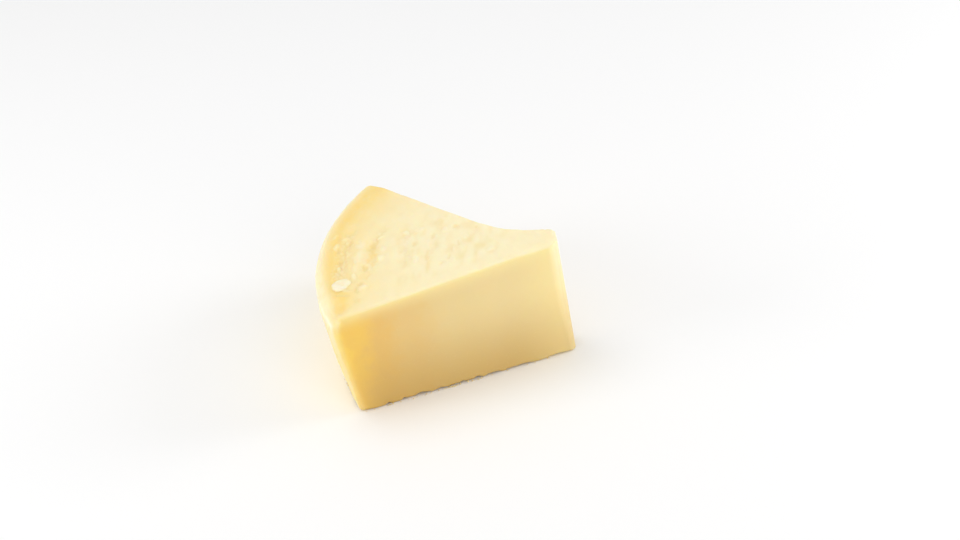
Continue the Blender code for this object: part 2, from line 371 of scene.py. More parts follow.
@dataclass(frozen=True)
class ChunkForm:
    """The smooth form of the chunk, in millimetres from the tip's front corner.

    Attributes:
        wheel: The wheel it was cut from.
        tip_front, tip_back: The blunt tip's two plan corners.
        bend: Where the back cut broke away towards the tip.
        back_cut_degrees: Direction of the back cut, seen from the bend.
        bend_softness, bend_catch_up: How round the bend is, and how late its overrun is taken up.
        tip_lean: How far the tip's foot stands out.
        tip_height, rind_height, top_run: The top falls evenly between these heights along this run.
        shoulder_height, rind_tuck, tuck_power: The rind tucks in below its shoulder.
        cut_edge, top_edge, base_edge, shoulder_edge, tip_edge: Radii of the rolled edges.
        shoulder_reach, tip_reach, tip_foot_reach: How far along a face a rolled corner reaches.
        tip_foot_shrink, tip_back_shrink, tip_top_shrink: How much the tip's roll shrinks at those places.
        far_corner: Radius that the top's corner between the rind and the back cut adds.
        rind_edge: Radius that the upright edges beside the rind add.
        longest_roll, widest_roll: The most of the length and width that a roll may take.
    """

    wheel: Wheel = field(default_factory=Wheel)
    tip_front: Pair = (0.0, 0.0)
    tip_back: Pair = (3.2, 13.3)
    bend: Pair = (-17.6, 26.6)
    back_cut_degrees: float = 113.7
    bend_softness: float = 5.0
    bend_catch_up: float = 6.0
    tip_lean: float = 3.3
    tip_height: float = 59.2
    rind_height: float = 50.3
    top_run: float = 118.0
    shoulder_height: float = 43.8
    rind_tuck: float = 7.1
    tuck_power: float = 1.12
    cut_edge: float = 1.3
    top_edge: float = 1.9
    base_edge: float = 0.6
    shoulder_edge: float = 4.2
    tip_edge: float = 4.6
    shoulder_reach: float = 14.0
    tip_reach: float = 22.0
    tip_foot_reach: float = 30.0
    tip_foot_shrink: float = 0.6
    tip_back_shrink: float = 0.85
    tip_top_shrink: float = 0.5
    far_corner: float = 2.0
    rind_edge: float = 1.5
    longest_roll: float = 0.3
    widest_roll: float = 0.45

    def front_rind_corner(self) -> Array:
        """The plan corner where the front cut, on Y = 0, meets the rim."""
        across, up = self.wheel.centre
        return np.array([across - np.sqrt(self.wheel.radius**2 - up**2), 0.0])

    def back_cut_run(self) -> tuple[Array, Array, float]:
        """The back cut's straight run, where a line from the bend meets the rim's circle.

        Returns:
            Its plan corner at the rim, its unit direction towards the bend, and its length.
        """
        angle = np.radians(self.back_cut_degrees)
        outward = np.array([np.cos(angle), np.sin(angle)])
        offset = np.subtract(self.bend, self.wheel.centre)
        along = offset @ outward
        length = np.sqrt(along**2 - offset @ offset + self.wheel.radius**2) - along
        return self.bend + outward * length, -outward, length

    def front_line(self, u: Array) -> Array:
        """Plan points on the front cut, a straight line."""
        start = self.front_rind_corner()
        return start + (np.array(self.tip_front) - start) * u[:, None]

    def back_line(self, u: Array) -> Array:
        """Plan points on the back cut: two straight runs joined by a soft bend.

        The travel past the bend is softness * log(1 + exp(overrun / softness)), and its small excess at the
        tip is taken up along the last stretch.

        Args:
            u: Shares along the cut.

        Returns:
            Plan points.
        """
        start, first, run = self.back_cut_run()
        nose = np.subtract(self.tip_back, self.bend)
        nose_length = np.linalg.norm(nose)
        second = nose / nose_length
        travel = u * (run + nose_length)
        soft = self.bend_softness
        past = soft * np.logaddexp(0.0, (travel - run) / soft)
        points = start + first * (travel - past)[:, None] + second * past[:, None]
        spill = soft * np.logaddexp(0.0, nose_length / soft) - nose_length
        return points + (first - second) * spill * (u**self.bend_catch_up)[:, None]

    def rind_line(self, v: Array) -> Array:
        """Plan points on the rim: an arc of the wheel from the front cut to the back cut.

        Args:
            v: Shares along the arc.

        Returns:
            Plan points.
        """
        corners = np.array([self.front_rind_corner(), self.back_cut_run()[0]])
        first, last = self.wheel.polar(corners)[1]
        return self.wheel.place(np.zeros_like(v), first + (last - first) * v)

    def tip_line(self, v: Array) -> Array:
        """Plan points on the blunt tip, a straight line."""
        return self.tip_front + np.subtract(self.tip_back, self.tip_front) * v[:, None]

    def plan(self, u: Array, v: Array) -> Array:
        """Plan points inside the four border lines, blended from them (a Coons patch).

        Args:
            u: Shares from the rind to the tip.
            v: Shares from the front cut to the back cut.

        Returns:
            Plan points.
        """
        zero, one = np.zeros(1), np.ones(1)
        across = (1.0 - v)[:, None] * self.front_line(u) + v[:, None] * self.back_line(u)
        along = (1.0 - u)[:, None] * self.rind_line(v) + u[:, None] * self.tip_line(v)
        corners = (
            ((1.0 - u) * (1.0 - v))[:, None] * self.front_line(zero)
            + (u * (1.0 - v))[:, None] * self.front_line(one)
            + ((1.0 - u) * v)[:, None] * self.back_line(zero)
            + (u * v)[:, None] * self.back_line(one)
        )
        return across + along - corners

    def top_height(self, points: Array) -> Array:
        """Height of the top, which falls evenly with the distance from the tip's front corner."""
        share = np.clip(np.linalg.norm(points[:, :2], axis=1) / self.top_run, 0.0, 1.0)
        return self.tip_height + (self.rind_height - self.tip_height) * share

    def spans(self, u: Array, v: Array) -> tuple[Array, Array, Array]:
        """Length, width and height of the chunk through each point.

        Args:
            u: Shares from the rind to the tip.
            v: Shares from the front cut to the back cut.

        Returns:
            The three measures.
        """
        length = np.linalg.norm(self.rind_line(v) - self.tip_line(v), axis=1)
        width = np.linalg.norm(self.front_line(u) - self.back_line(u), axis=1)
        return length, width, self.top_height(self.plan(u, v))

    def roll_edges(self, shares: Array) -> Array:
        """Moves the shares near an edge onto an ellipsoid, so that the edge is rolled over.

        Each axis gives how deep a point lies in an edge zone, from 0 to 1. Where the length of those three is
        over 1, the point is moved back along them until it is 1.

        Args:
            shares: Shares u, v and w, one row each.

        Returns:
            The moved shares.
        """
        u, v, w = shares.T
        spans = length, width, height = self.spans(u, v)
        near_rind = ease(1.0 - u * length / self.shoulder_reach)
        near_tip = ease(1.0 - (1.0 - u) * length / self.tip_reach)
        near_top = ease(1.0 - (1.0 - w) * height / self.shoulder_reach)
        near_foot = ease(1.0 - w * height / self.tip_foot_reach)
        tip_roll = self.tip_edge * near_tip * (1.0 - self.tip_foot_shrink * near_foot)
        shoulder_roll = self.shoulder_edge * near_rind * near_top
        top_roll = (self.top_edge - self.base_edge) * (1.0 - self.tip_top_shrink * near_tip) * near_top
        side_roll = self.cut_edge + self.rind_edge * near_rind
        along = side_roll + shoulder_roll + tip_roll * (1.0 - self.tip_back_shrink * v)
        across = side_roll + tip_roll * ease(1.0 - v) + self.far_corner * near_rind * near_top * ease(v)
        radius = np.stack(
            (
                np.minimum(along, self.longest_roll * length),
                np.minimum(across, self.widest_roll * width),
                self.base_edge + top_roll + shoulder_roll,
            )
        )
        spans = np.stack(spans)
        low = np.maximum(0.0, 1.0 - shares.T * spans / radius)
        high = np.maximum(0.0, 1.0 - (1.0 - shares.T) * spans / radius)
        pull = low - high
        depth = np.maximum(np.linalg.norm(pull, axis=0), 1.0)
        return (shares.T + pull * (1.0 - 1.0 / depth) * radius / spans).T

    def points(self, shares: Array) -> Array:
        """Places of the smooth chunk: plan, height, tuck of the rind and lean of the tip.

        Args:
            shares: Shares u, v and w, one row each.

        Returns:
            Places.
        """
        u, v, w = self.roll_edges(shares).T
        flat = self.plan(u, v)
        rise = w * self.top_height(flat)
        sink = np.clip(1.0 - rise / self.shoulder_height, 0.0, 1.0)
        tuck = self.rind_tuck * sink**self.tuck_power * (1.0 - u)
        flat = flat - self.wheel.outward(self.rind_line(v)) * tuck[:, None]
        flat[:, 0] += self.tip_lean * (1.0 - w) * u**2
        return np.column_stack((flat, rise))

    def edge_distance(self, shares: Array) -> Array:
        """Distance along the skin to the nearest edge: the second least distance to the six faces.

        Args:
            shares: Shares u, v and w, one row each.

        Returns:
            One distance for each point.
        """
        spans = np.stack(self.spans(shares[:, 0], shares[:, 1]), axis=1)
        away = np.concatenate((shares * spans, (1.0 - shares) * spans), axis=1)
        return np.sort(away, axis=1)[:, 1]


@dataclass(frozen=True)
class Mark:
    """An oval swelling or scoop on the top, with its long axis pointing at the wheel's centre.

    Attributes:
        depth: Depth in from the rim.
        bearing: Bearing round the wheel in degrees.
        size: Its length and width.
        rise: Its height, with a minus sign for a scoop.
    """

    depth: float
    bearing: float
    size: Pair
    rise: float

    def at(self, wheel: Wheel, points: Array) -> Array:
        """Height of the mark, a soft oval.

        Args:
            wheel: The wheel.
            points: Places.

        Returns:
            One height for each place.
        """
        depth, bearing = wheel.polar(points)
        side = np.radians(bearing - self.bearing) * (wheel.radius - self.depth)
        return self.rise * oval(depth - self.depth, side, self.size)


@dataclass(frozen=True)
class Dab:
    """A lump or a dent of the torn top, an oval with an uneven rim.

    Attributes:
        place: Its middle, from the tip's front corner.
        size: Its length and width.
        turn: Direction of its long axis, in degrees from X.
        rise: Its height, with a minus sign for a dent.
        tint: How golden it is, or how pale with a minus sign, from -1 to 1.
    """

    place: Pair
    size: Pair
    turn: float
    rise: float
    # A dent's golden tint is painted shade and a lump's pale tint painted light; a warm dab's tint is its own
    # colour.
    tint: float

    def cover(self, points: Array, wobble: Array) -> Array:
        """How much the dab covers each place, with its rim shifted by shares of its half size."""
        x, y = (points[:, :2] - self.place).T
        return oval(*spin(x, y, -np.radians(self.turn)), self.size, wobble)


@dataclass(frozen=True)
class Granules:
    """Rounded grains with valleys between them, as a surface that was torn shows.

    Attributes:
        size: Spacing of the grains along X, Y and Z.
        rise: How high a grain stands.
        seed: Picks the random centres.
        jitter: How far a centre may lie from its cell's middle, as a share of the cell.
        valley: Lead of the nearest centre over the next one at which the valley ends, in cells.
        lowest: Height of the lowest grain as a share of the rise.
    """

    size: Triple
    rise: float
    seed: int
    jitter: float = 0.9
    valley: float = 0.45
    lowest: float = 0.35

    def at(self, points: Array) -> tuple[Array, Array]:
        """Compares the distances to the two nearest grain centres.

        A grain's height is its own random share of the rise, times the eased lead of the nearest centre.

        Args:
            points: Places.

        Returns:
            Heights, and how deep in a valley each place is, from 0 to 1.
        """
        place = points / self.size
        cell = np.floor(place).astype(int)
        table = np.random.default_rng(self.seed).uniform(0.0, 1.0, (REPEAT,) * 3 + (4,))
        nearest, second = np.full((2, len(points)), np.inf)
        tall = np.zeros(len(points))
        for step in itertools.product((-1, 0, 1), repeat=3):
            drawn = table[tuple(((cell + step) % REPEAT).T)]
            centre = cell + step + 0.5 + self.jitter * (drawn[:, :3] - 0.5)
            distance = np.linalg.norm(place - centre, axis=1)
            tall = np.where(distance < nearest, drawn[:, 3], tall)
            second = np.minimum(second, np.maximum(distance, nearest))
            nearest = np.minimum(nearest, distance)
        lead = ease((second - nearest) / self.valley)
        return self.rise * lead * at_least(self.lowest, tall), 1.0 - lead


@dataclass(frozen=True)
class Furrows:
    """Furrows round the top beside the rind, fading towards the tip, with a low ridge between each two.

    Attributes:
        first, spacing, count: Depth of the first furrow, the distance between them, and their number.
        width, depth, fade: Half width and depth of a furrow, and the distance over which they fade.
        bearings, soft: The bearings between which they run, and how softly they end, in degrees.
        slant, level_bearing: How much deeper in they run for each degree away from this bearing.
        ridge_width, ridge_share: Half width of a ridge, and its height as a share of the furrow's depth.
        wander, breaks, least: How they wander sideways, and how their depth varies above the least share.
        torn_width: Half width of the torn strip along a furrow.
    """

    first: float = 12.5
    spacing: float = 14.5
    count: int = 5
    width: float = 3.2
    depth: float = 0.9
    fade: float = 30.0
    bearings: Pair = (148.0, 169.5)
    soft: float = 7.0
    slant: float = 0.18
    level_bearing: float = 160.0
    ridge_width: float = 5.0
    ridge_share: float = 0.4
    wander: Noise = Noise(2.2, 17.0, 11)
    breaks: Noise = Noise(0.4, 7.0, 12)
    least: float = 0.6
    torn_width: float = 4.6

    def at(self, wheel: Wheel, points: Array) -> tuple[Array, Array]:
        """Sinks a hump for each furrow and raises one for each ridge.

        Args:
            wheel: The wheel.
            points: Places.

        Returns:
            Heights, and how torn each place is, from 0 to 1.
        """
        depth, bearing = wheel.polar(points)
        low, high = self.bearings
        half = 0.5 * self.soft
        window = rise_between(bearing, low - half, low + half)
        window *= rise_between(bearing, high + half, high - half)
        level = depth - self.slant * (self.level_bearing - bearing) + self.wander.at(points)
        strength = self.least + self.breaks.at(points)
        height, torn = np.zeros((2, len(points)))
        for index in range(self.count):
            centre = self.first + index * self.spacing
            share = np.exp(-index * self.spacing / self.fade)
            furrow = bump((level - centre) / self.width)
            ridge = bump((level - centre - 0.5 * self.spacing) / self.ridge_width)
            height += self.depth * share * (self.ridge_share * ridge - strength * furrow)
            torn += share * bump((level - centre) / self.torn_width)
        return height * window, np.minimum(torn * window, 1.0)


@dataclass(frozen=True)
class GoldenBand:
    """The golden tint beside the rim: cream at the rim itself, golden behind it, and fading inwards.

    Attributes:
        rise: Depths between which it rises.
        peak, fade: Depth from which it fades, and the distance over which it falls to a third.
        corner_glow_share, corner_glow_reach: The painted glow that the far corner adds, and how far from it.
        corner_pull, pull_reach: How much nearer the rim it lies beside the front cut, and how far from it.
        front_share, front_rise: Share of it that is left at the front cut, and the distances up to the whole.
        drift: How far its depths wander.
    """

    rise: Pair = (1.0, 8.5)
    peak: float = 9.5
    fade: float = 13.0
    corner_glow_share: float = 0.45
    corner_glow_reach: float = 17.0
    corner_pull: float = 6.0
    pull_reach: float = 19.0
    front_share: float = 0.7
    front_rise: Pair = (3.0, 11.0)
    drift: Noise = Noise(2.0, 9.0, 44, octaves=2)

    def pull(self, points: Array) -> Array:
        """How much nearer to the rim the band lies at each place."""
        return self.corner_pull * ease(1.0 - points[:, 1] / self.pull_reach)

    def at(self, form: ChunkForm, points: Array) -> Array:
        """Works out the tint.

        Args:
            form: The chunk's form.
            points: Places.

        Returns:
            Shares from 0 to 1.
        """
        depth = form.wheel.polar(points)[0] + self.pull(points)
        corner = np.linalg.norm(points[:, :2] - form.back_cut_run()[0], axis=1)
        inner = np.exp(-np.maximum(0.0, depth + self.drift.at(points) - self.peak) / self.fade)
        # A painted glow of light through the thin far edge, by the corner where the back cut meets the rim.
        extra = self.corner_glow_share * np.exp(-corner / self.corner_glow_reach)
        tint = rise_between(depth, *self.rise) * np.clip(inner + extra, 0.0, 1.0)
        return tint * at_least(self.front_share, rise_between(points[:, 1], *self.front_rise))


@dataclass(frozen=True)
class TopSurface:
    """The top of the wheel: furrows, torn grains, lumps and dents, and the colours that go with them.

    Attributes:
        furrows: The furrows.
        marks: The swellings and the scoop by the front corner of the rind.
        dents, lumps, warm: Small forms of the torn part: sunk, raised, and shallow with a golden tint.
        warm_clears: How much of the torn colour a warm dab clears away.
        wobble: Unevenness of their rims.
        granules: Grains of the torn strips.
        streaks: Soft streaks that follow the furrows, as colour and as height.
        streak_light_and_shade, streak_rest: Their painted light and shade, and the share of it that is left
            outside the middle.
        set_in, fade_out: Depths between which the middle begins, and between which it ends.
        near_front, near_back: The same for the distance from the front cut.
        rim_highlight, rim_highlight_pull: Depths between which the painted highlight along the rim itself
            fades, and the
        share of the band's pull that it follows.
        torn_shade, valley_shade, grain_light: Painted shade in a torn strip and its valleys, and painted
            light on its grains.
        waves, grain: Broad and fine unevenness.
        band: The golden tint beside the rim.
    """

    furrows: Furrows = field(default_factory=Furrows)
    marks: tuple[Mark, ...] = (
        Mark(11.4, 171.8, (12.0, 12.0), 0.5),
        Mark(20.3, 175.5, (6.0, 6.0), 0.3),
        Mark(6.0, 179.5, (13.0, 17.0), -1.2),
    )
    dents: tuple[Dab, ...] = (
        Dab((-80.6, 58.4), (6.6, 4.4), 60.0, -0.6, 1.0),
        Dab((-83.8, 65.0), (5.0, 3.2), 55.0, -0.4, 0.65),
        Dab((-87.3, 54.6), (8.0, 2.8), 66.0, -0.55, 0.85),
        Dab((-89.2, 45.8), (7.6, 3.4), 70.0, -0.55, 0.9),
        Dab((-93.0, 39.6), (4.4, 2.2), 60.0, -0.4, 0.5),
        Dab((-70.9, 52.2), (9.6, 5.4), 60.0, -0.35, 0.9),
        Dab((-74.4, 48.6), (5.0, 2.6), 66.0, -0.4, 0.6),
        Dab((-80.9, 33.4), (7.4, 4.8), 50.0, -0.55, 0.9),
        Dab((-87.0, 22.2), (4.0, 2.6), 40.0, -0.5, 0.65),
        Dab((-89.9, 17.6), (7.2, 2.6), 80.0, -0.4, 0.6),
        Dab((-97.4, 18.4), (9.5, 2.2), -40.0, -0.35, 0.65),
        Dab((-92.7, 9.4), (5.4, 4.2), 30.0, -0.35, 0.4),
        Dab((-62.7, 37.0), (4.6, 2.8), 60.0, -0.3, 0.3),
        Dab((-55.8, 39.0), (6.4, 3.4), 65.0, -0.35, 0.5),
        Dab((-53.8, 26.2), (11.0, 2.8), 67.0, -0.35, 0.5),
        Dab((-45.8, 40.6), (9.0, 2.4), 65.0, -0.35, 0.5),
        Dab((-34.2, 42.8), (4.6, 3.4), 20.0, -0.35, 0.45),
        Dab((-26.0, 37.0), (4.2, 3.0), 20.0, -0.35, 0.5),
        Dab((-38.2, 27.4), (9.0, 2.0), 70.0, -0.3, 0.35),
        Dab((-45.5, 19.3), (7.0, 2.2), 60.0, -0.3, 0.35),
        Dab((-50.3, 15.8), (5.2, 2.6), 50.0, -0.3, 0.35),
    )
    lumps: tuple[Dab, ...] = (
        Dab((-81.2, 62.8), (5.4, 3.8), 40.0, 0.5, -0.45),
        Dab((-85.2, 67.0), (5.6, 3.4), 55.0, 0.35, -0.35),
        Dab((-87.0, 58.6), (6.0, 3.2), 60.0, 0.55, -0.5),
        Dab((-91.3, 41.0), (4.6, 2.4), 65.0, 0.5, -0.5),
        Dab((-84.2, 50.0), (5.4, 3.0), 60.0, 0.35, -0.4),
        Dab((-87.7, 29.6), (6.0, 2.6), 75.0, 0.55, -0.7),
        Dab((-87.0, 18.0), (6.4, 4.4), 45.0, 0.5, -0.65),
        Dab((-94.6, 20.2), (6.0, 1.8), -40.0, 0.4, -0.5),
        Dab((-66.4, 55.0), (4.0, 2.4), 15.0, 0.45, -0.6),
        Dab((-72.6, 37.2), (6.6, 3.6), 70.0, 0.5, -0.65),
        Dab((-69.0, 44.6), (6.6, 3.2), 65.0, 0.35, -0.4),
        Dab((-76.2, 54.0), (12.0, 6.0), 64.0, 0.35, -0.5),
        Dab((-80.4, 44.6), (15.0, 6.6), 64.0, 0.4, -0.6),
        Dab((-85.4, 35.0), (9.0, 4.4), 62.0, 0.3, -0.4),
        Dab((-55.4, 51.4), (5.0, 3.4), 60.0, 0.35, -0.45),
        Dab((-48.4, 50.4), (4.8, 3.4), 40.0, 0.35, -0.5),
        Dab((-59.3, 25.8), (9.0, 3.0), 68.0, 0.4, -0.6),
        Dab((-49.6, 36.4), (8.0, 2.4), 68.0, 0.3, -0.35),
        Dab((-39.2, 42.8), (6.6, 3.6), 60.0, 0.35, -0.45),
        Dab((-44.5, 15.2), (7.6, 2.6), 70.0, 0.3, -0.45),
        Dab((-41.6, 23.4), (8.4, 2.2), 70.0, 0.25, -0.35),
        Dab((-27.4, 14.0), (6.6, 4.2), 70.0, 0.3, -0.45),
        Dab((-33.4, 30.9), (9.0, 3.6), 70.0, 0.25, -0.35),
    )
    warm: tuple[Dab, ...] = (
        Dab((-75.5, 41.2), (23.0, 8.4), 71.0, -0.25, 0.8),
        Dab((-83.4, 27.8), (11.0, 8.0), 60.0, -0.2, 0.55),
        Dab((-89.8, 48.0), (19.0, 5.0), 66.0, -0.2, 1.0),
        Dab((-76.4, 69.6), (10.0, 5.0), 40.0, -0.1, 0.55),
        Dab((-52.6, 47.0), (7.0, 4.0), 60.0, -0.15, 0.3),
        Dab((-61.0, 45.0), (6.0, 4.0), 60.0, -0.15, 0.25),
    )
    warm_clears: float = 0.85
    wobble: Noise = Noise(0.35, 2.2, 43, octaves=2)
    granules: Granules = Granules((2.3, 3.4, 4.0), 0.52, 41)
    streaks: Noise = Noise(0.12, 3.1, 42, octaves=2, stretch=(2.1, 1.0, 1.0), turn=68.0)
    streak_light_and_shade: float = 0.52
    streak_rest: float = 0.25
    set_in: Pair = (32.0, 44.0)
    fade_out: Pair = (94.0, 78.0)
    near_front: Pair = (5.0, 14.0)
    near_back: Pair = (64.0, 50.0)
    rim_highlight: Pair = (3.9, 0.4)
    rim_highlight_pull: float = 0.5
    torn_shade: float = 0.4
    valley_shade: float = 0.42
    grain_light: float = 0.42
    waves: Noise = Noise(0.4, 17.0, 1)
    grain: Noise = Noise(0.1, 4.2, 51, octaves=3, stretch=(0.8, 1.4, 1.0))
    band: GoldenBand = field(default_factory=GoldenBand)

    def middle(self, depth: Array, points: Array) -> Array:
        """How strong the streaks are: full in the middle of the top, and a little elsewhere.

        Args:
            depth: Depths in from the rim.
            points: Places.

        Returns:
            Shares from 0 to 1.
        """
        across = points[:, 1]
        window = rise_between(depth, *self.set_in) * rise_between(depth, *self.fade_out)
        window *= rise_between(across, *self.near_front) * rise_between(across, *self.near_back)
        return at_least(self.streak_rest, window)

    def at(self, form: ChunkForm, points: Array) -> tuple[Array, dict[Mask, Array]]:
        """Adds up the height of the top and works out its masks.

        Args:
            form: The chunk's form.
            points: Places.

        Returns:
            Heights and masks.
        """
        depth, _ = form.wheel.polar(points)
        height, torn = self.furrows.at(form.wheel, points)
        grains, valley = self.granules.at(points)
        height += torn * (grains - 0.5 * self.granules.rise)
        height += sum(mark.at(form.wheel, points) for mark in self.marks)
        streak = self.streaks.at(points)
        share = self.streak_light_and_shade * self.middle(depth, points) * streak / self.streaks.height
        # Painted shade in the torn strips, their valleys and the streaks' hollows; painted light on the
        # grains and the streaks' ridges.
        pit_shade = torn * (self.torn_shade + self.valley_shade * valley) + np.maximum(0.0, -share)
        pale = torn * self.grain_light * (1.0 - valley) + np.maximum(0.0, share)
        wobble = self.wobble.at(points)
        gold = self.band.at(form, points)
        for dab in self.warm:
            cover = dab.cover(points, wobble)
            height += dab.rise * cover
            gold = np.maximum(gold, dab.tint * cover)
            pit_shade *= 1.0 - self.warm_clears * cover
        # Dents take painted shade and lumps painted light.
        for dab in self.dents + self.lumps:
            cover = dab.cover(points, wobble)
            height += dab.rise * cover
            pit_shade = np.maximum(pit_shade * (1.0 - cover), dab.tint * cover)
            pale = np.maximum(pale * (1.0 - cover), -dab.tint * cover)
        height += streak + self.waves.at(points) + self.grain.at(points)
        # A painted highlight along the rim itself.
        rim = depth + self.rim_highlight_pull * self.band.pull(points)
        pale = np.maximum(pale, rise_between(rim, *self.rim_highlight))
        return height, {Mask.GOLD: gold, Mask.PIT: pit_shade, Mask.PALE_AND_PAINTED_LIGHT: pale}


@dataclass(frozen=True)
class Gap:
    """A gap under the foot of the front cut.

    Attributes:
        middle: Its place along X, from the tip's front corner.
        width, height: Its size.
    """

    middle: float
    width: float
    height: float


@dataclass(frozen=True)
class FaceShares:
    """Shares from 0 to 1 by which each point belongs to the faces of the chunk.

    Attributes:
        top, front, rind, tip: The top, the front cut, the rind's side and the blunt tip.
        back, broken: The straight run of the back cut, and its broken surface beside the tip.
    """

    top: Array
    front: Array
    rind: Array
    tip: Array
    back: Array
    broken: Array


@dataclass(frozen=True)
class Relief:
    """Everything that the surface of the chunk does on top of its smooth form.

    Attributes:
        top: The top of the wheel.
        front, back, rind, fracture: Broad unevenness of the other faces.
        cut_grain, rind_grain: Fine unevenness of the cuts and of the rind.
        rind_pits: Low swellings of the rind with shallow pits between them.
        hollow_level: Levels of the rind's grain, downwards, between which it takes the colour of a hollow.
        fracture_grains: Grains of the broken surface.
        edge_crumble, edge_reach: How much of the edges has crumbled away, and how far in.
        edge_share: Share of the relief that is left at an edge.
        calm: Distances from the tip's front corner between which the relief sets in.
        rind_within: Depths between which the rind's side ends.
        break_between: The places along X between which the broken surface fades in.
        tip_between: The places along X between which the blunt tip's face starts.
        gaps: Gaps under the front foot.
        nicks, nick_level: Smaller nicks all round the foot, and the noise levels between which they open.
        ragged: Unevenness of the gaps.
        nick_rise, nick_depth: How far up the sides and how far in under the base the gaps and nicks reach.
        most_rise: The greatest height of a gap, as a share of that.
        facing: Shares of the normal between which a face takes its own relief.
        underside: Upward share of the normal below which a point belongs to the base.
        tip_share: Share of the back cut's unevenness that the blunt tip has.
    """

    top: TopSurface = field(default_factory=TopSurface)
    front: Noise = Noise(0.22, 26.0, 2)
    back: Noise = Noise(0.40, 26.0, 3)
    fracture: Noise = Noise(0.75, 13.0, 4)
    rind: Noise = Noise(0.35, 21.0, 5)
    cut_grain: Noise = Noise(0.035, 3.0, 52, octaves=2)
    rind_grain: Noise = Noise(0.16, 4.2, 55, octaves=4, stretch=(1.0, 1.0, 0.6))
    rind_pits: Granules = Granules((5.5, 5.5, 4.5), 0.22, 56)
    hollow_level: Pair = (0.0, 1.0)
    fracture_grains: Granules = Granules((2.6, 2.6, 2.6), 0.7, 53)
    edge_crumble: Noise = Noise(0.25, 2.4, 54, octaves=2)
    edge_reach: float = 1.6
    edge_share: float = 0.45
    calm: Pair = (3.5, 13.0)
    rind_within: Pair = (14.2, 7.1)
    break_between: Pair = (-28.0, -20.0)
    tip_between: Pair = (-6.0, -1.0)
    gaps: tuple[Gap, ...] = (
        Gap(-87.4, 3.6, 0.8),
        Gap(-79.6, 3.4, 1.1),
        Gap(-71.6, 7.6, 1.4),
        Gap(-62.6, 8.4, 1.0),
        Gap(-52.2, 6.0, 1.1),
        Gap(-44.7, 5.6, 1.3),
        Gap(-37.0, 9.0, 1.0),
        Gap(-23.0, 14.0, 0.5),
    )
    nicks: Noise = Noise(0.7, 3.0, 21)
    nick_level: Pair = (0.1, 0.5)
    ragged: Noise = Noise(0.35, 1.1, 22, octaves=2)
    nick_rise: float = 3.2
    nick_depth: float = 9.0
    most_rise: float = 0.6
    facing: Pair = (0.4, 0.9)
    underside: float = -0.5
    tip_share: float = 0.5

    def faces(self, form: ChunkForm, points: Array, normals: Array) -> FaceShares:
        """Tells by the normals, and by the place along the chunk, which face each point belongs to.

        Args:
            form: The chunk's form.
            points: Places on the smooth form.
            normals: Its normals there.

        Returns:
            The shares.
        """
        depth, _ = form.wheel.polar(points)
        across = np.sum(normals[:, :2] * form.wheel.outward(points), axis=1)
        top = rise_between(normals[:, 2], *self.facing)
        front = rise_between(-normals[:, 1], *self.facing)
        rind = rise_between(across, *self.facing) * rise_between(depth, *self.rind_within)
        rest = np.clip(1.0 - top - rind - front, 0.0, 1.0) * (normals[:, 2] > self.underside)
        tip = rest * rise_between(normals[:, 0], *self.facing) * rise_between(points[:, 0], *self.tip_between)
        back = rest - tip
        broken = back * rise_between(points[:, 0], *self.break_between)
        return FaceShares(top, front, rind, tip, back - broken, broken)

    def at(
        self, form: ChunkForm, shares: Array, points: Array, normals: Array
    ) -> tuple[Array, dict[Mask, Array], FaceShares]:
        """Height of the relief along the normal: each face's own, weighted by its share.

        Args:
            form: The chunk's form.
            shares: Shares u, v and w.
            points: Places on the smooth form.
            normals: Its normals there.

        Returns:
            Heights, the masks of the top and of the rind's hollows, and the shares of the faces.
        """
        face = self.faces(form, points, normals)
        top, masks = self.top.at(form, points)
        cut = self.cut_grain.at(points)
        swell, _ = self.rind_pits.at(points)
        grains, _ = self.fracture_grains.at(points)
        rind = self.rind.at(points) + self.rind_grain.at(points) + swell - self.rind_pits.rise
        total = face.top * top + face.front * (self.front.at(points) + cut) + face.rind * rind
        total += (face.back + self.tip_share * face.tip) * (self.back.at(points) + cut)
        total += face.broken * (self.fracture.at(points) + grains - 0.5 * self.fracture_grains.rise)
        edge = ease(1.0 - form.edge_distance(shares) / self.edge_reach)
        total *= at_least(self.edge_share, 1.0 - edge)
        total -= edge * np.maximum(0.0, self.edge_crumble.at(points))
        hollow = rise_between(-self.rind_grain.unit(points), *self.hollow_level)
        masks[Mask.PIT] = masks[Mask.PIT] * (1.0 - face.rind) + hollow * face.rind
        away = np.linalg.norm(points[:, :2] - form.tip_front, axis=1)
        return total * rise_between(away, *self.calm), masks, face

    def nick_lift(self, points: Array, under: Array) -> Array:
        """How far the gaps and nicks raise each point near the foot.

        Args:
            points: Places.
            under: How far in under the base each place is, and 0 on the sides.

        Returns:
            One rise for each place.
        """
        flat = points * (1.0, 1.0, 0.0)
        closeness = ease(1.0 - points[:, 2] / self.nick_rise) * ease(1.0 - under / self.nick_depth)
        rise = self.nicks.height * rise_between(self.nicks.unit(flat), *self.nick_level)
        on_front = (flat[:, 1] < self.nick_depth) & (flat[:, 0] < self.tip_between[0])
        for gap in self.gaps:
            hump = bump(2.0 * (flat[:, 0] - gap.middle) / gap.width)
            rise = np.maximum(rise, gap.height * on_front * np.sqrt(hump))
        return np.minimum(rise * (1.0 + self.ragged.at(flat)), self.most_rise * self.nick_rise) * closeness


